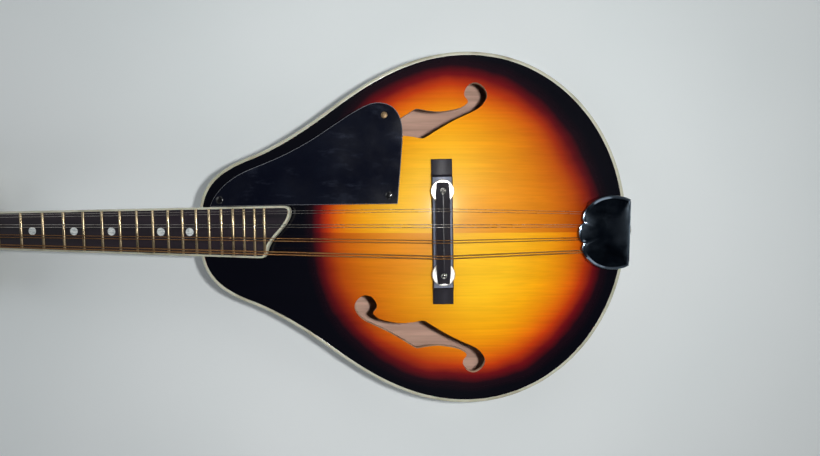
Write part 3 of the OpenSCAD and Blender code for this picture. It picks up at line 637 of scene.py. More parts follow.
# Distance at which the black of the sunburst begins, by direction from its middle, and how
# bright the wood glows there on either side of the centre seam
BURST_MID = (185.5, -0.5)
BURST_REACH = [
    (0, 117), (30, 114), (60, 120), (90, 123.5), (120, 118), (150, 107), (180, 102),
    (210, 107), (240, 111), (270, 115), (300, 122), (330, 118), (360, 117),
]
GLOW_HIGH = [
    (0, 0.15), (30, 0.2), (45, 0.3), (60, 0.5), (75, 0.7), (90, 0.85), (120, 0.9), (150, 0.9),
    (165, 0.85), (179.9, 0.75),
]
GLOW_LOW = [
    (180.1, 0.15), (195, 0.12), (210, 0.1), (225, 0.2), (240, 0.4), (255, 0.5), (270, 0.75),
    (285, 0.95), (300, 1.0), (330, 0.95), (345, 0.8), (360, 0.75),
]


def paint_burst(mesh):
    """Writes the sunburst's reach and glow onto a plate's points."""
    co = np.zeros(len(mesh.vertices) * 3)
    mesh.vertices.foreach_get("co", co)
    co = co.reshape(-1, 3) / MM
    dx, dy = co[:, 0] - SHIFT - BURST_MID[0], co[:, 1] - BURST_MID[1]
    angle = np.degrees(np.arctan2(dy, dx)) % 360
    values = {
        "burst": np.hypot(dx, dy) / np.interp(angle, *zip(*BURST_REACH), period=360),
        "glow_high": np.interp(np.where(angle > 270, 0, angle), *zip(*GLOW_HIGH)),
        "glow_low": np.interp(np.where(angle < 90, 360, angle), *zip(*GLOW_LOW)),
    }
    for name, value in values.items():
        layer = mesh.attributes.new(name, "FLOAT", "POINT")
        layer.data.foreach_set("value", value.astype(np.float32))


def smooth_closed(points, corners, steps=6):
    """A closed curve through the points, sharp at the ones listed in corners."""
    out, n = [], len(points)
    for i in range(n):
        p1, p2 = Vector(points[i]), Vector(points[(i + 1) % n])
        p0 = Vector(points[i - 1]) if i not in corners else p1 - (p2 - p1)
        p3 = Vector(points[(i + 2) % n]) if (i + 1) % n not in corners else p2 + (p2 - p1)
        for k in range(steps):
            t = k / steps
            q = 0.5 * (
                2 * p1
                + (p2 - p0) * t
                + (2 * p0 - 5 * p1 + 4 * p2 - p3) * t * t
                + (3 * p1 - p0 - 3 * p2 + p3) * t**3
            )
            out.append((q[0], q[1]))
    return out


# ---- body ----

FHOLE_MID = {1: (162.6, 79.6), -1: (163.2, -77.9)}
FHOLE_HALF = [
    (-35.1, 17.3), (-34.8, 14.8), (-29.8, 11.6), (-22.1, 9.7), (-14.3, 8.8), (-6.6, 9.4),
    (1.3, 10.9), (4, 10.4), (12.6, 5), (24.3, -1.8), (36, -7.4), (42.9, -10.9),
    (47.6, -15.8), (49.5, -21), (47.4, -26.4), (42, -30), (36.6, -28.9), (33.4, -24.8),
    (32.8, -20.6),
]
FHOLE_CORNER = 6


def fhole_outline(side):
    points = FHOLE_HALF + [(-x, -y) for x, y in FHOLE_HALF]
    curve = smooth_closed(points, (FHOLE_CORNER, FHOLE_CORNER + len(FHOLE_HALF)))
    mid_x, mid_y = FHOLE_MID[side]
    return [(x + mid_x, mid_y - side * y) for x, y in curve]


def arched_plate(arch):
    """Plate with its edge's underside at z = 0, arched upwards."""
    outer = [0, 0.02, 0.045, 0.075, 0.11] + [0.15 + 0.05 * i for i in range(16)] + [0.94, 0.975]
    inner = [0.97, 0.9, 0.8, 0.7, 0.6, 0.5, 0.4, 0.32, 0.24, 0.17, 0.11, INNER_MARGIN, 0]

    rings = [shrunk(plate_edge, ARCH_MID, t, (arch - 0.5) * inner_rise(t)) for t in inner]
    rings += [shrunk(plate_edge, ARCH_MID, t, PLATE_T + arch * rise(t)) for t in outer]
    return rings


def top_plate():
    shape = Shape().loft(arched_plate(TOP_ARCH), BODY @ moved(0, 0, EDGE_HIGH - PLATE_T))
    mesh = shape.mesh("top_solid")
    for side in (-1, 1):
        outline = fhole_outline(side)
        cutter = Shape().loft([lifted(outline, EDGE_HIGH - 12), lifted(outline, EDGE_HIGH + 16)], BODY)
        mesh = cut(mesh, cutter.mesh("fhole_cutter"))
    mesh.name = "arched_top"
    paint_burst(mesh)
    for face in mesh.polygons:
        if face.normal.z < -0.3:
            face.material_index = 1
        elif face.normal.z < 0.5:
            face.material_index = 2
    finish_piece(
        "arched_top", mesh, ["top", "inner_pale", "raw_edge"], "top_wood",
        stands_for=["top_plate"], sharp=40,
    )


def back_plate():
    flip = Matrix.Scale(-1, 4, (0, 0, 1))
    shape = Shape().loft(arched_plate(BACK_ARCH), BODY @ moved(0, 0, EDGE_LOW + PLATE_T) @ flip)
    mesh = shape.mesh("arched_back")
    paint_burst(mesh)
    for face in mesh.polygons:
        face.material_index = 1 if face.normal.z > 0.3 else 0
    finish_piece("arched_back", mesh, ["back", "inner"], "back_wood", stands_for=["back_plate"], sharp=40)


def swept_edge(profile, edge=body_edge):
    """A closed rim: the profile's (inset, height) pairs carried round the outline."""
    rings = [lifted(inset(edge, d), z) for d, z in profile]
    return Shape().loft(rings, BODY, caps=False, loop=True)


def body_sides():
    low, high = EDGE_LOW + PLATE_T, EDGE_HIGH - PLATE_T
    make(
        "sides", swept_edge([(0, low), (0, high), (SIDE_T, high), (SIDE_T, low)]),
        ["side"], "side_wood", stands_for=["rim"],
    )
    r = 0.7
    for name, node, foot, head in (
        ("top_binding", "body_binding_top", high, EDGE_HIGH),
        ("back_binding", "body_binding_back", low, EDGE_LOW),
    ):
        up = 1 if head > foot else -1
        profile = [
            (BINDING_W, foot), (0.1, foot), (0, foot + up * 0.3), (0, head - up * r),
            (0.15, head - up * 0.3), (0.5, head), (BINDING_W - 0.2, head + up * 0.08), (BINDING_W, head),
        ]
        make(name, swept_edge(profile), ["binding"], "binding", stands_for=[node])


def inside():
    for node in ("head_block", "tail_block", "linings"):
        dress(node, "inner", 0.3)
    dress("tone_bars", "inner_pale", 0.5)


# ---- neck ----


def board_half(x):
    return NUT_W / 2 + (x - NUT_X) * BOARD_TAPER


def fret_x(n):
    return NUT_X + SCALE_L * (1 - 2 ** (-n / 12))


board_path = (
    [(NUT_X, -board_half(NUT_X))]
    + [(x, -board_half(x)) for x in range(-160, 41, 20)]
    + bezier([(45, -board_half(45)), (49, -19.3), (49.6, -17.6), (50.6, -13)], 8)
    + bezier([(50.6, -13), (52.2, -7.3), (57.5, -2.6), (61, 1.6)], 10)
    + bezier([(61, 1.6), (64.5, 5.6), (68.4, 10.5), (BOARD_END, 15.5)], 10)
    + bezier([(BOARD_END, 15.5), (68, 18.4), (66.5, 19.6), (62.5, board_half(62.5))], 8)
    + [(x, board_half(x)) for x in range(60, -161, -20)]
    + [(NUT_X, board_half(NUT_X))]
)


def board_ring(d):
    """The board's outline moved inwards by d, but still reaching the nut."""
    ring = inset(board_path, d)
    ring[0] = (NUT_X, ring[0][1])
    ring[-1] = (NUT_X, ring[-1][1])
    return ring


def neck():
    shape = Shape()
    sides = 40
    heel_start, heel_depth = -50.0, 29.0
    squared_from = NUT_X + 26

    def ring(x, upright=False):
        grown = max(0.0, (x - heel_start) / (BODY_END - heel_start))
        depth = 12.6 + (x - NUT_X) * 0.022 + heel_depth * grown**2.3
        square = clamp((squared_from - x) / 26)
        square = square * square * (3 - 2 * square)
        depth += 0.9 * square
        power = 0.9 - 0.62 * square
        out = []
        for i in range(sides + 1):
            a = pi * i / sides
            wide = bent(cos(a), 1 - 0.55 * square)
            z = -BOARD_T - depth * max(0.0, sin(a)) ** power
            along = x
            if upright:
                along = (BODY_END - 0.05 + z * sin(radians(NECK_ANGLE))) / cos(radians(NECK_ANGLE))
            out.append((along, -(board_half(x) - 0.05) * wide, z))
        return out

    stations = [NUT_X - 0.5 + 2.4 * i for i in range(12)]
    stations += [-148 + 7 * i for i in range(15)] + [-48 + 2.4 * i for i in range(16)]
    shape.loft([ring(x) for x in stations] + [ring(BODY_END, True)], NECK)
    half = head_edge()
    b = 1.0
    rings = [(b, -HEAD_T), (0.3, -HEAD_T + 0.3), (0, -HEAD_T + b), (0, 0)]
    shape.loft([lifted(inset(half, d), z) for d, z in rings], HEAD)
    # Wedge that carries the fingerboard over the body
    slope = tan(radians(NECK_ANGLE))
    under = BOARD_Z - BOARD_T / cos(radians(NECK_ANGLE)) - 0.02
    wedge = [
        [(x, y, z) for x, z in (
            (BODY_END - 1, EDGE_HIGH + 0.3), (12, EDGE_HIGH + 0.8), (44, EDGE_HIGH + 2.5),
            (44, under + 44 * slope), (BODY_END - 1, under + (BODY_END - 1) * slope),
        )]
        for y in (-14, 14)
    ]
    shape.loft(wedge, BODY)
    make("neck_and_head", shape, ["neck"], "neck_wood", stands_for=["neck"], sharp=40)


HEAD_HALF = [
    (0, 14), (-5, 14.6), (-11, 18), (-17, 24), (-23, 28.4), (-30, 30.2), (-60, 29.4),
    (-100, 28.2), (-122, 27.6), (-130, 25.2), (-136, 19.5), (-139, 11),
]


def head_edge():
    """The headstock's outline, sharp only where it meets the neck."""
    points = HEAD_HALF + [(-HEAD_L, 0)] + [(x, -y) for x, y in HEAD_HALF[::-1]]
    return smooth_closed(points, (0, len(points) - 1), 5)


def headplate():
    outline = [(min(x, -5.4), y) for x, y in head_edge()]
    t = HEADPLATE_T
    rings = [(0, 0), (0, t - 0.5), (0.15, t - 0.15), (0.5, t)]
    steps = zip(outline, [outline[-1]] + outline)
    apart = [p for p, before in steps if hypot(p[0] - before[0], p[1] - before[1]) > 0.05]
    shape = Shape().loft([lifted(inset(apart, d), z) for d, z in rings], HEAD)
    make("head_face", shape, ["head_face"], "headplate", stands_for=["headplate"])


def fingerboard():
    shape = Shape().loft([lifted(board_ring(BOARD_BINDING), z) for z in (-BOARD_T, 0)], NECK)
    make("board", shape, ["board"], "board_wood", stands_for=["fingerboard"])
    profile = [
        (BOARD_BINDING, -BOARD_T), (0, -BOARD_T), (0, -0.4), (0.12, -0.12), (0.4, 0.0),
        (BOARD_BINDING, 0.02),
    ]
    rails = [lifted(board_ring(d), z) for d, z in profile]
    sections = [[rail[i] for rail in rails] for i in range(len(board_path))]
    shape = Shape().loft(sections, NECK)
    make("board_edge", shape, ["binding"], "binding", stands_for=["fingerboard_binding"])


def frets():
    shape = Shape()
    w, h = 1.0, 1.0
    half_turn = [pi * i / 10 for i in range(11)]
    for n in range(1, 19):
        x = fret_x(n)
        high = board_half(x) - BOARD_BINDING + 0.25
        low = -high if n < 18 else -15.4
        ends = [(low, 0.25), (low + 0.25, 0.75), (low + 0.8, 1.0)]
        ends += [(high - 0.8, 1.0), (high - 0.25, 0.75), (high, 0.25)]
        rings = [
            [(x + w * cos(a) * (0.7 + 0.3 * k), y, h * k * sin(a)) for a in half_turn]
            for y, k in ends
        ]
        shape.loft(rings, NECK)
    make("fret_wires", shape, ["fret"], "fret_wire", stands_for=["frets"])


def dots():
    shape = Shape()
    for n in (3, 5, 7, 10, 12):
        middle = (fret_x(n - 1) + fret_x(n)) / 2
        shape.lathe([(0, -1.2), (3, -1.2), (3, 0.02), (2.8, 0.06), (0, 0.08)], NECK @ moved(middle, 0, 0))
        side = moved(middle, -board_half(middle) + 0.05, -2.4) @ turned(90, "X")
        shape.lathe([(0, -0.4), (0.9, -0.4), (0.9, 0.06), (0.8, 0.1), (0, 0.1)], NECK @ side, 1, 20)
    make("dot_inlays", shape, ["pearl", "dark"], "pearl", stands_for=["inlays"])


# ---- screws ----


def screw_mesh(r, h, slot_w, shank_r, shank_l):
    """A slotted round-head screw with its head's underside at z = 0, pointing down."""
    dome = [0.25 * i for i in range(1, 6)]
    profile = [(0, h)] + [(r * sin(a), h * (0.25 + 0.75 * cos(a))) for a in dome]
    profile += [(r, 0.1 * h), (r * 0.97, 0), (shank_r, 0)]
    profile += [(shank_r, -shank_l), (0, -shank_l - shank_r)]
    solid = Shape().lathe(profile, steps=28).mesh("screw", 1e-4)
    x, y = r * 1.3, slot_w / 2
    rings = [[(-x, -y, z), (x, -y, z), (x, y, z), (-x, y, z)] for z in (h * 0.55, h + 1)]
    return cut(solid, Shape().loft(rings).mesh("slot"))


def screws(name, mesh, places, material, slot, **options):
    """Copies one screw to each matrix and joins them into a piece."""
    shape = Shape()
    for i, matrix in enumerate(places):
        shape.copy(mesh, matrix @ Matrix.Rotation(0.7 + 1.9 * i, 4, "Z"))
    make(name, shape, [material], slot, **options)


GUARD_TOP, GUARD_T = -1.5, 2.0
GUARD_SCREWS = [(137.4, 84.0), (15.2, 23.6), (140.8, 27.0)]
COVER_SCREWS = ((-10.5, 6.1), (-10.5, -6.1), (-32.0, 0.0))
TUNER_SCREW_US = [-19.7] + [u - 8.4 for u in TUNER_U]
FLANGE_X = TAIL_END + 0.3
BASE_T = 1.2
TAIL_SCREWS = [(-7, 52), (7, 52), (0, 27)]


def all_screws():
    small = screw_mesh(1.6, 0.95, 0.45, 0.9, 6)
    back = turned(180, "X")
    places = []
    for side in (-1, 1):
        for u in TUNER_SCREW_US:
            v = side * (TUNER_V - 3.4 if u > -25 else TUNER_V)
            places.append(HEAD @ moved(u, v, -HEAD_T - 1.2) @ back)
    screws("tuner_plate_screws", small, places, "nickel", "nickel", stands_for=["tuner_screws"])
    cover = [HEAD @ moved(u, v, HEADPLATE_T + 1.6) for u, v in COVER_SCREWS]
    x, y = GUARD_SCREWS[0]
    screws("cover_screws", small, cover, "brass", "nickel", stands_for=["trim_screws"])
    large = screw_mesh(2.4, 0.9, 0.6, 1.0, 3)
    screws("guard_screw", large, [NECK @ moved(x, y, GUARD_TOP)], "old_brass", "nickel")
    pins = Shape()
    for x, y in GUARD_SCREWS[1:]:
        profile = [(0, -1), (2.8, -1), (2.8, 0.25), (2.4, 0.55), (1.4, 0.75), (0, 0.8)]
        pins.lathe(profile, NECK @ moved(x, y, GUARD_TOP), 0, 32)
    make("guard_pins", pins, ["black"], "black_plastic")
    tail = screw_mesh(2.9, 1.5, 0.6, 1.4, 12)
    turn = turned(90, "Y")
    places = [BODY @ moved(FLANGE_X + BASE_T, y, z) @ turn for y, z in TAIL_SCREWS]
    screws("tail_screws", tail, places, "nickel", "nickel", stands_for=["tailpiece_screws"])


# ---- tuners ----

STRING_R = [0.13, 0.13, 0.18, 0.18, 0.31, 0.31, 0.48, 0.48]
STRING_TUNER = [0, 1, 2, 3, 7, 6, 5, 4]
POST_R = 3.0
POST_TOP = 14.5


def tuner_side(k):
    return 1 if k < 4 else -1


def tuner_place(k):
    return TUNER_U[k % 4], tuner_side(k) * TUNER_V


def shaft_place(k):
    return HEAD @ moved(tuner_place(k)[0] + WORM_OFFSET, 0, AXIS_Z)


def winding_z(k):
    return 5.2 if k % 4 == 0 else 6.8


GEAR_TEETH, GEAR_DEPTH = 14, 0.9


def gear_tooth(angle, radius):
    wave = max(-1, min(1, 1.7 * cos(GEAR_TEETH * angle)))
    return radius + GEAR_DEPTH / 2 * (wave - 1)


def coil(r, pitch, turns, low, per):
    """Points of a helix of radius r from height low, per points to a turn."""
    angles = [2 * pi * i / per for i in range(int(turns * per) + 1)]
    return [(r * cos(a), r * sin(a), low + pitch * a / (2 * pi)) for a in angles]


def string_post(k):
    u, v = tuner_place(k)
    at = HEAD @ moved(u, v, 0)
    string = STRING_TUNER.index(k)
    r = STRING_R[string]
    shape = Shape()
    r0, top, wound = POST_R, POST_TOP, winding_z(k)
    profile = [
        (0, AXIS_Z - 1.4), (r0, AXIS_Z - 1.4), (r0, wound - 3.2), (r0 - 0.3, wound - 2.2),
        (r0 - 0.3, wound + 2.4), (r0, wound + 3.4), (r0, top - 0.7), (r0 - 0.25, top - 0.2),
        (r0 - 0.8, top), (0, top),
    ]
    shape.lathe(profile, at, 0, 36)
    turns = 4.6
    pitch = max(2 * r + 0.06, 0.42)
    path = coil(POST_R - 0.3 + r, pitch, turns, wound - turns * pitch / 2, 18)
    path.append((path[-1][0] * 1.5, path[-1][1] * 1.5, path[-1][2] + 1.2))
    shape.tube(path, r, at, 1 if string < 4 else 2, 8)
    z0, z1 = AXIS_Z - 1.5, AXIS_Z + 1.5
    gear = [(5.9, z0), (6.2, z0 + 0.25), (6.2, z1 - 0.25), (5.9, z1)]
    shape.lathe(gear, at, 3, GEAR_TEETH * 8, gear_tooth)
    shape.copy(SCREW_END, at @ moved(0, 0, z0) @ turned(180, "X"))
    make(
        f"wound_post_{k + 1}", shape, ["nickel", "string", "wound", "brass"], "nickel",
        body=f"post_{k + 1}", stands_for=[f"string_post_{k + 1}"],
    )


def worm_shaft(k):
    flip = Matrix.Scale(tuner_side(k), 4, (0, 1, 0))
    along = shaft_place(k) @ flip @ turned(-90, "X")
    shape = Shape()
    profile = [
        (0, 11.4), (1.2, 11.4), (1.5, 11.7), (1.5, 14.3), (2.1, 14.4), (2.1, 19.6), (1.5, 19.7),
        (1.5, 31.2), (2.2, 31.4), (2.4, 31.6), (2.4, 32.4), (2.0, 32.7), (1.5, 32.8), (1.5, 36.4),
        (0, 36.4),
    ]
    shape.lathe(profile, along, 0, 24)
    shape.tube(coil(2.25, 1.35, 3.6, 14.6, 16), 0.55, along, 0, 6)
    make(
        f"worm_{k + 1}", shape, ["nickel"], "nickel",
        body=f"knob_{k + 1}", stands_for=[f"tuner_shaft_{k + 1}"],
    )


def tuner_button(k):
    """An oval button: rounded all over, a little narrower at the shaft."""
    start, length = 32.7, 12.5
    rings, around, steps = [], 32, 18
    for j in range(steps + 1):
        t = -1 + 2 * j / steps
        y = start + length / 2 * (1 + t)
        belly = max(0.0, 1 - abs(t) ** 2.6) ** (1 / 2.2)
        wide = 8.0 * belly * (1 + 0.14 * t)
        thick = 3.5 * max(0.0, 1 - abs(t) ** 3) ** 0.5 * (1 - 0.1 * t)
        if j in (0, steps):
            wide, thick = 2.2, 1.6
        y *= tuner_side(k)
        angles = (2 * pi * i / around for i in range(around))
        rings.append([(wide * bent(cos(a), 0.85), y, thick * bent(sin(a), 0.9)) for a in angles])
    make(
        f"button_{k + 1}", Shape().loft(rings, shaft_place(k)), ["button"], "button_plastic",
        body=f"knob_{k + 1}", stands_for=[f"tuner_button_{k + 1}"], sharp=60,
    )


def tuners():
    for side in ("treble", "bass"):
        dress(f"tuner_plate_{side}", "nickel", 0.25)
    dress("tuner_bushings", "nickel", 0.2)
    for k in range(8):
        string_post(k)
        worm_shaft(k)
        tuner_button(k)


# ---- bridge ----

BRIDGE_L, BRIDGE_W = 107.0, 15.2
RAISED_HALF = 40.4
BASE_TOP = 72.6
FOOT_T = 3.2
WHEEL_LOW, WHEEL_T = 73.4, 2.2
SADDLE_LOW = WHEEL_LOW + WHEEL_T + 0.05
SADDLE_TOP = 82.6
SADDLE_L, SADDLE_W = 72.6, 9.9
STUD_R = 2.0


def post_place(side, z=0):
    return BRIDGE @ moved(0, side * POST_GAP / 2, z)


def bridge_base():
    half, w = BRIDGE_L / 2, BRIDGE_W / 2
    ys = {half * k / 12 for k in range(13)}
    ys |= {RAISED_HALF, RAISED_HALF + 1.6, half - 0.5, 22.75}
    rings = []
    for y in sorted(ys | {-y for y in ys}):
        low = max(top_z(BRIDGE_X + dx, y) for dx in (-w, 0, w)) + 0.1
        if abs(y) < 24:
            low = max(low, top_z(*ARCH_MID) + 1.6 * min(1, (24 - abs(y)) / 4))
        raised = abs(y) <= RAISED_HALF
        foot = top_z(BRIDGE_X, y) + FOOT_T
        high = BASE_TOP if raised else min(foot, BASE_TOP - 1.6)
        lip = 0.8 if raised else 0.5
        if abs(y) > half - 0.3:
            high -= 0.4
        section = [(w, low), (w, high - lip), (w - lip * 0.35, high - lip * 0.35), (w - lip, high)]
        rings.append(both_sides(section, y))
    mesh = Shape().loft(rings, BRIDGE).mesh("bridge_foot")
    # Upward faces on top of the raised middle get the grey-blue ebony: painted sheen, not wear.
    for face in mesh.polygons:
        if face.normal.z > 0.95 and face.center.z > (BASE_TOP - 0.1) * MM:
            face.material_index = 1
    finish_piece(
        "bridge_foot", mesh, ["ebony", "sheen_painted_ebony"], "ebony", stands_for=["bridge_base"], bevel=0.2
    )


def threaded_posts():
    shape = Shape()
    pitch, low, high = 0.7, 70.4, 82.2
    profile = [(0, low)]
    z = low
    while z < high - 0.9:
        profile += [(STUD_R - 0.02, z + 0.12), (STUD_R - 0.3, z + 0.42)]
        z += pitch
    profile += [(STUD_R - 0.1, high - 0.5), (STUD_R - 0.6, high - 0.1), (0, high)]
    for side in (-1, 1):
        shape.lathe(profile, post_place(side), 0, 28)
    make("threaded_posts", shape, ["nickel"], "nickel", stands_for=["bridge_posts"], sharp=50)


def thumbwheel(side, body, node):
    r, t, bore = 8.5, WHEEL_T, STUD_R + 0.06

    def knurl(angle, radius):
        return radius - (0.16 * (1 + cos(angle * 44)) if radius > r - 0.3 else 0)

    profile = [
        (bore, 0), (r - 0.7, 0), (r - 0.1, 0.35), (r, 0.5), (r, t - 0.5), (r - 0.1, t - 0.35),
        (r - 0.7, t), (r - 1.6, t), (r - 1.9, t - 0.12), (3.6, t - 0.12), (3.3, t), (bore, t),
    ]
    shape = Shape().lathe(profile, post_place(side, WHEEL_LOW), 0, 264, knurl, loop=True)
    # Near-white metal on the wheels: painted glare.
    make(f"knurled_{node}", shape, ["bright"], "nickel", body=body, stands_for=[node], sharp=40)


def saddle():
    half, w = SADDLE_L / 2, SADDLE_W / 2
    rings = []
    end_slope, shoulder = 14, SADDLE_LOW + 4.3
    ys = {0, 7.5, 15, half, half - 0.6} | {half - end_slope * k / 6 for k in range(1, 7)}
    for y in sorted(ys | {-y for y in ys}):
        reach = min(1.0, (half - abs(y)) / end_slope)
        top = shoulder + 0.1 + (SADDLE_TOP - shoulder - 0.1) * (1 - (1 - reach) ** 2)
        out = w - 0.9 * max(0.0, (abs(y) - 29) / (half - 29)) ** 1.5
        if abs(y) > half - 0.3:
            top -= 0.5
        section = [
            (out - 0.5, SADDLE_LOW), (out, SADDLE_LOW + 0.6), (out, shoulder - 0.5),
            (out - 0.7, shoulder + 0.15), (2.2, shoulder + (top - shoulder) * 0.55), (0.3, top),
        ]
        rings.append(both_sides(section, y))
    mesh = Shape().loft(rings, BRIDGE).mesh("saddle")
    for side in (-1, 1):
        bore = Shape().lathe([(0, 60), (2.25, 60), (2.25, 95), (0, 95)], post_place(side))
        mesh = cut(mesh, bore.mesh("bore"))
    finish_piece(
        "saddle_top", mesh, ["ebony"], "ebony", body="bridge_saddle",
        stands_for=["bridge_saddle"], sharp=28, bevel=0.12,
    )


def bridge():
    bridge_base()
    threaded_posts()
    thumbwheel(1, "wheel_treble", "thumbwheel_treble")
    thumbwheel(-1, "wheel_bass", "thumbwheel_bass")
    saddle()


# ---- strings ----

NUT_L = 4.5
NUT_SPREAD, COURSE_SPREAD, PAIR_GAP = 21.8, 33.6, 1.9
STRING_OVER_BOARD, STRING_GAP = 1.1, 0.05
HOOK_X, HOOK_SQUEEZE = 303.0, 0.82
BASE_LOW = EDGE_HIGH + 2.2
HOOK_TOP = BASE_LOW + BASE_T + 3.6


def spread_y(i, spread):
    return spread * (0.5 - (i // 2) / 3) + (0.5 if i % 2 == 0 else -0.5) * PAIR_GAP


def string_points(i):
    """Post, nut, saddle and tailpiece hook of string i, in metres."""
    r = STRING_R[i]
    k = STRING_TUNER[i]
    u, v = tuner_place(k)
    post = HEAD @ Vector((u, v - tuner_side(k) * (POST_R - 0.3 + 1.0 * r), winding_z(k)))
    nut = NECK @ Vector((NUT_X - NUT_L, spread_y(i, NUT_SPREAD), STRING_OVER_BOARD + STRING_GAP + r))
    y = spread_y(i, COURSE_SPREAD)
    x = BRIDGE_X - y * sin(radians(BRIDGE_TURN))
    over = BODY @ Vector((x, y, SADDLE_TOP + STRING_GAP + r))
    hook = BODY @ Vector((HOOK_X - 1.3, y * HOOK_SQUEEZE, HOOK_TOP - 1.6))
    return post, nut, over, hook


def between(a, b, n):
    return [a.lerp(b, i / n) for i in range(n + 1)]


def strings():
    nut_at = NECK @ Vector((NUT_X, 0, 0))
    hook_at = BODY @ Vector((HOOK_X, 0, HOOK_TOP))
    for name, group, key, slot, node in (
        ("plain", range(0, 4), "string", "string_steel", "plain_strings"),
        ("wound", range(4, 8), "wound", "string_bronze", "wound_strings"),
    ):
        front, rear = Shape(), Shape()
        for i in group:
            post, nut, over, hook = string_points(i)
            r = STRING_R[i] * MM
            front.tube([post] + between(nut, over, 56), r)
            rear.tube(between(over, hook, 20), r)
            at = moved(HOOK_X, spread_y(i, COURSE_SPREAD) * HOOK_SQUEEZE, HOOK_TOP - 1.6)
            ring = [BODY @ at @ Vector(p) for p in coil(0.8 + STRING_R[i], 0, 1, 0, 18)[:-1]]
            rear.tube(ring, r, sides=8, loop=True)
        for part, shape, start, replaced in (
            ("front", front, nut_at, [node]), ("rear", rear, hook_at, []),
        ):
            piece = make(
                f"{name}_strings_{part}", shape, [key], slot,
                body=None, stands_for=replaced, sharp=60,
            )
            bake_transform(piece)


# ---- tailpiece ----

COVER_LOW, COVER_TOP, COVER_T = 62.2, 74.2, 0.8
COVER_END, COVER_CORNER = 315.2, 24.3
cover_side = (
    bezier([(278.1, 0), (278.1, 3.8), (279.5, 6.4), (281.7, 7.5)], 10)
    + bezier([(281.7, 7.5), (279.9, 10.0), (280.3, 14.4), (284.0, 18.4)], 12)
    + bezier([(284.0, 18.4), (288.1, 23.8), (294.5, 26.6), (301.3, 26.95)], 12)
    + bezier([(301.3, 26.95), (307.6, 27.1), (311.1, 26.3), (COVER_END, COVER_CORNER)], 10)
    + [(COVER_END, COVER_CORNER)]
)
cover_outline = [(x, -y) for x, y in cover_side] + [
    (COVER_END, COVER_CORNER * (1 - k / 4)) for k in range(7, 0, -1)
]
cover_outline += [cover_side[i] for i in range(len(cover_side) - 1, 0, -1)]


def tailpiece_cover():
    """A pressed cover: crowned top, rolled edge, skirt at the sides and a lobed front lip."""
    r, crown_mid, steps = 3.4, (298.5, 0.0), 6

    def low(x, y):
        mouth = clamp((295 - x) / 3) * clamp((21.5 - abs(y)) / 2.5)
        tail = clamp((x - 306) / 3) * clamp(23.8 - abs(y))
        return COVER_LOW + (72.0 - COVER_LOW) * max(mouth, tail)

    def above(points, gap, z):
        return [(x, y, max(low(x, y) + gap, z)) for x, y in points]

    rings = [above(cover_outline, 0, 0), above(cover_outline, 0.15, COVER_TOP - 1.4 - r * 0.55)]
    for k in range(1, steps + 1):
        a = pi / 2 * k / steps
        edge = inset(cover_outline, min(r * (1 - cos(a)), 2.0))
        rings.append(above(edge, 0.2, COVER_TOP - 1.2 - r * 0.55 * (1 - sin(a))))
    base = inset(cover_outline, 2.0)
    for t in (0.06, 0.14, 0.25, 0.4, 0.6, 0.8, 0.97):
        rings.append(shrunk(base, crown_mid, t, COVER_TOP - 1.2 + 1.1 * (1 - (1 - t) ** 2)))
    shape = Shape().loft(rings, BODY, caps=False)
    shape.add(rings[-1], [list(range(len(base)))], BODY)
    # The cover's dark metal is a painted reflection of a dark room.
    piece = make(
        "cloud_cover", shape, ["cover"], "nickel", body="tailpiece_cover",
        stands_for=["tailpiece_cover"], sharp=50,
    )
    thick = piece.modifiers.new("sheet", "SOLIDIFY")
    thick.thickness = COVER_T * MM
    thick.offset = -1


def tailpiece():
    tailpiece_cover()
    dress("tailpiece_base", "nickel", 0.25)
    profile = [
        (0, -20), (2, -20), (2, -0.2), (5.2, 0), (5.5, 0.3), (5.5, 0.7), (4.6, 1.4), (3.7, 2.3),
        (3.5, 3.8), (3.8, 5.3), (5.4, 6.3), (6.5, 6.7), (6.6, 7.4), (6.1, 8.3), (4.6, 8.8),
        (2, 8.98), (0, 9),
    ]
    turn = turned(90, "Y")
    shape = Shape().lathe(profile, BODY @ moved(FLANGE_X + BASE_T, 0, 39) @ turn, 0, 48)
    make("strap_knob", shape, ["nickel"], "nickel", stands_for=["strap_button"], sharp=45)


# ---- pickguard and headstock trim ----

guard_outline = (
    [(66.8, 19.95), (146.9, 21)]
    + bezier([(149.3, 50.4), (149.8, 57), (150.1, 62), (150.4, 67)], 4)
    + bezier([(150.4, 67), (151, 82), (147, 93), (132, 92.9)], 16)
    + bezier([(132, 92.9), (122, 92.5), (104, 79), (86, 67.9)], 14)
    + bezier([(86, 67.9), (64, 55), (52, 51.5), (36, 45)], 14)
    + bezier([(36, 45), (20, 38.5), (10, 27), (7.6, 18.62)], 14)
    + [(7.6, 18.62)]
)


def pickguard():
    shape = Shape()
    low, high = GUARD_TOP - GUARD_T, GUARD_TOP
    rings = [(0.3, low), (0, low + 0.3), (0, high - 0.5), (0.4, high)]
    loops = [lifted(inset(guard_outline, d), z) for d, z in rings]
    shape.loft(loops[:3], NECK, caps=False)
    shape.loft(loops[2:], NECK, 1, caps=False)
    n = len(guard_outline)
    shape.add(loops[0], [list(range(n))[::-1]], NECK)
    shape.add(loops[3], [list(range(n))], NECK)
    make("guard", shape, ["guard", "guard_edge"], "black_plastic", stands_for=["pickguard"], sharp=25)
    dress("pickguard_supports", "black", 0.2)


def head_trim():
    dress("nut", "bone", 0.3)
    dress("truss_rod", "steel", 0.1)
    dress("truss_rod_cover", "black", 0.35)


# ---- stage ----


def floor_material():
    s = Shader("pale_floor")
    s.set(Base_Color=s.tones(s.noise(2.2, 3.0), "E9F0F0", "F4F8F8"), Roughness=0.9)
    s.set(Specular_IOR_Level=0.1)
    return s.material


def stage():
    size = 4.0
    mesh = bpy.data.meshes.new("floor")
    z = cad_box[0][2] - 0.0003
    corners = [(-size, -size, z), (size, -size, z), (size, size, z), (-size, size, z)]
    mesh.from_pydata(corners, [], [(0, 1, 2, 3)])
    mesh.materials.append(floor_material())
    placed("floor", mesh)


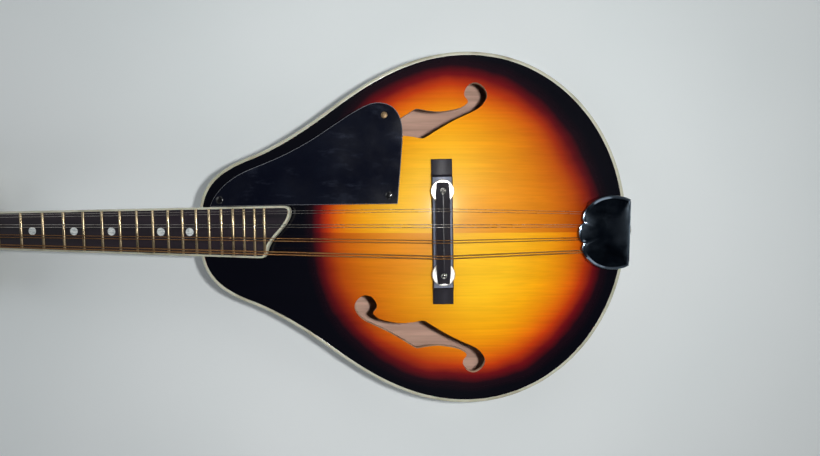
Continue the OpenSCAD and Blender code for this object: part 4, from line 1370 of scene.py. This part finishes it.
def lamp(name, place, target, size, power, colour=(1, 1, 1)):
    light = bpy.data.lights.new(name, "AREA")
    light.shape = "DISK"
    light.size = size
    light.energy = power
    light.color = colour
    thing = placed(name, light)
    thing.location = place
    thing.rotation_euler = (target - place).to_track_quat("-Z", "Y").to_euler()


# Where the camera stands over the rim's plane, and what it looks at
CAMERA_AT = (155.5, 29.4, EDGE_HIGH + 374.7)
CAMERA_TO = (155.5, 2.55, EDGE_HIGH)
SENSOR_W, LENS = 36.0, 21.9512


def camera_and_light():
    eye = BODY @ Vector(CAMERA_AT)
    target = BODY @ Vector(CAMERA_TO)
    back = (eye - target).normalized()
    right = Vector((1, 0, 0))
    up = back.cross(right)
    data = bpy.data.cameras.new("camera")
    data.sensor_width = SENSOR_W
    data.lens = LENS
    data.clip_start = 0.01
    camera = placed("camera", data)
    facing = Matrix((right, up, back)).transposed().to_4x4()
    camera.matrix_world = Matrix.Translation(eye) @ facing
    bpy.context.scene.camera = camera
    middle = BODY @ Vector((160, 0, 60))
    key = BODY @ Vector((203, 36, EDGE_HIGH + 380))
    lamp("key", key, middle, 0.02, 1.12)
    for name, away, colour in (
        ("side_right", (1.5, 0.4, 1.1), (1.0, 0.98, 0.95)),
        ("side_left", (-1.5, 0.6, 1.1), (0.94, 0.97, 1.0)),
        ("side_front", (0.0, -1.6, 1.2), (1, 1, 1)),
        ("side_back", (0.2, 1.6, 1.2), (1, 1, 1)),
    ):
        lamp(name, middle + Vector(away), middle, 1.2, 4.5, colour)
    world = bpy.data.worlds.new("studio")
    bpy.context.scene.world = world
    world.use_nodes = True
    tree = world.node_tree
    sky = tree.nodes["Background"]
    coords = tree.nodes.new("ShaderNodeTexCoord")
    split = tree.nodes.new("ShaderNodeSeparateXYZ")
    ramp = tree.nodes.new("ShaderNodeValToRGB")
    tree.links.new(coords.outputs["Generated"], split.inputs["Vector"])
    tree.links.new(split.outputs["Z"], ramp.inputs["Fac"])
    tree.links.new(ramp.outputs["Color"], sky.inputs["Color"])
    first, second = ramp.color_ramp.elements
    first.position, first.color = 0.4, rgb("D8DDE0")
    second.position, second.color = 0.84, rgb("262E3A")
    sky.inputs["Strength"].default_value = 0.4
    bpy.context.scene.view_settings.view_transform = "Standard"


# ---- everything ----

camera_and_light()
stage()
top_plate()
back_plate()
body_sides()
inside()
neck()
headplate()
fingerboard()
frets()
dots()
SCREW_END = screw_mesh(2.2, 1.1, 0.5, 1.0, 1.0)
all_screws()
tuners()
bridge()
strings()
tailpiece()
pickguard()
head_trim()
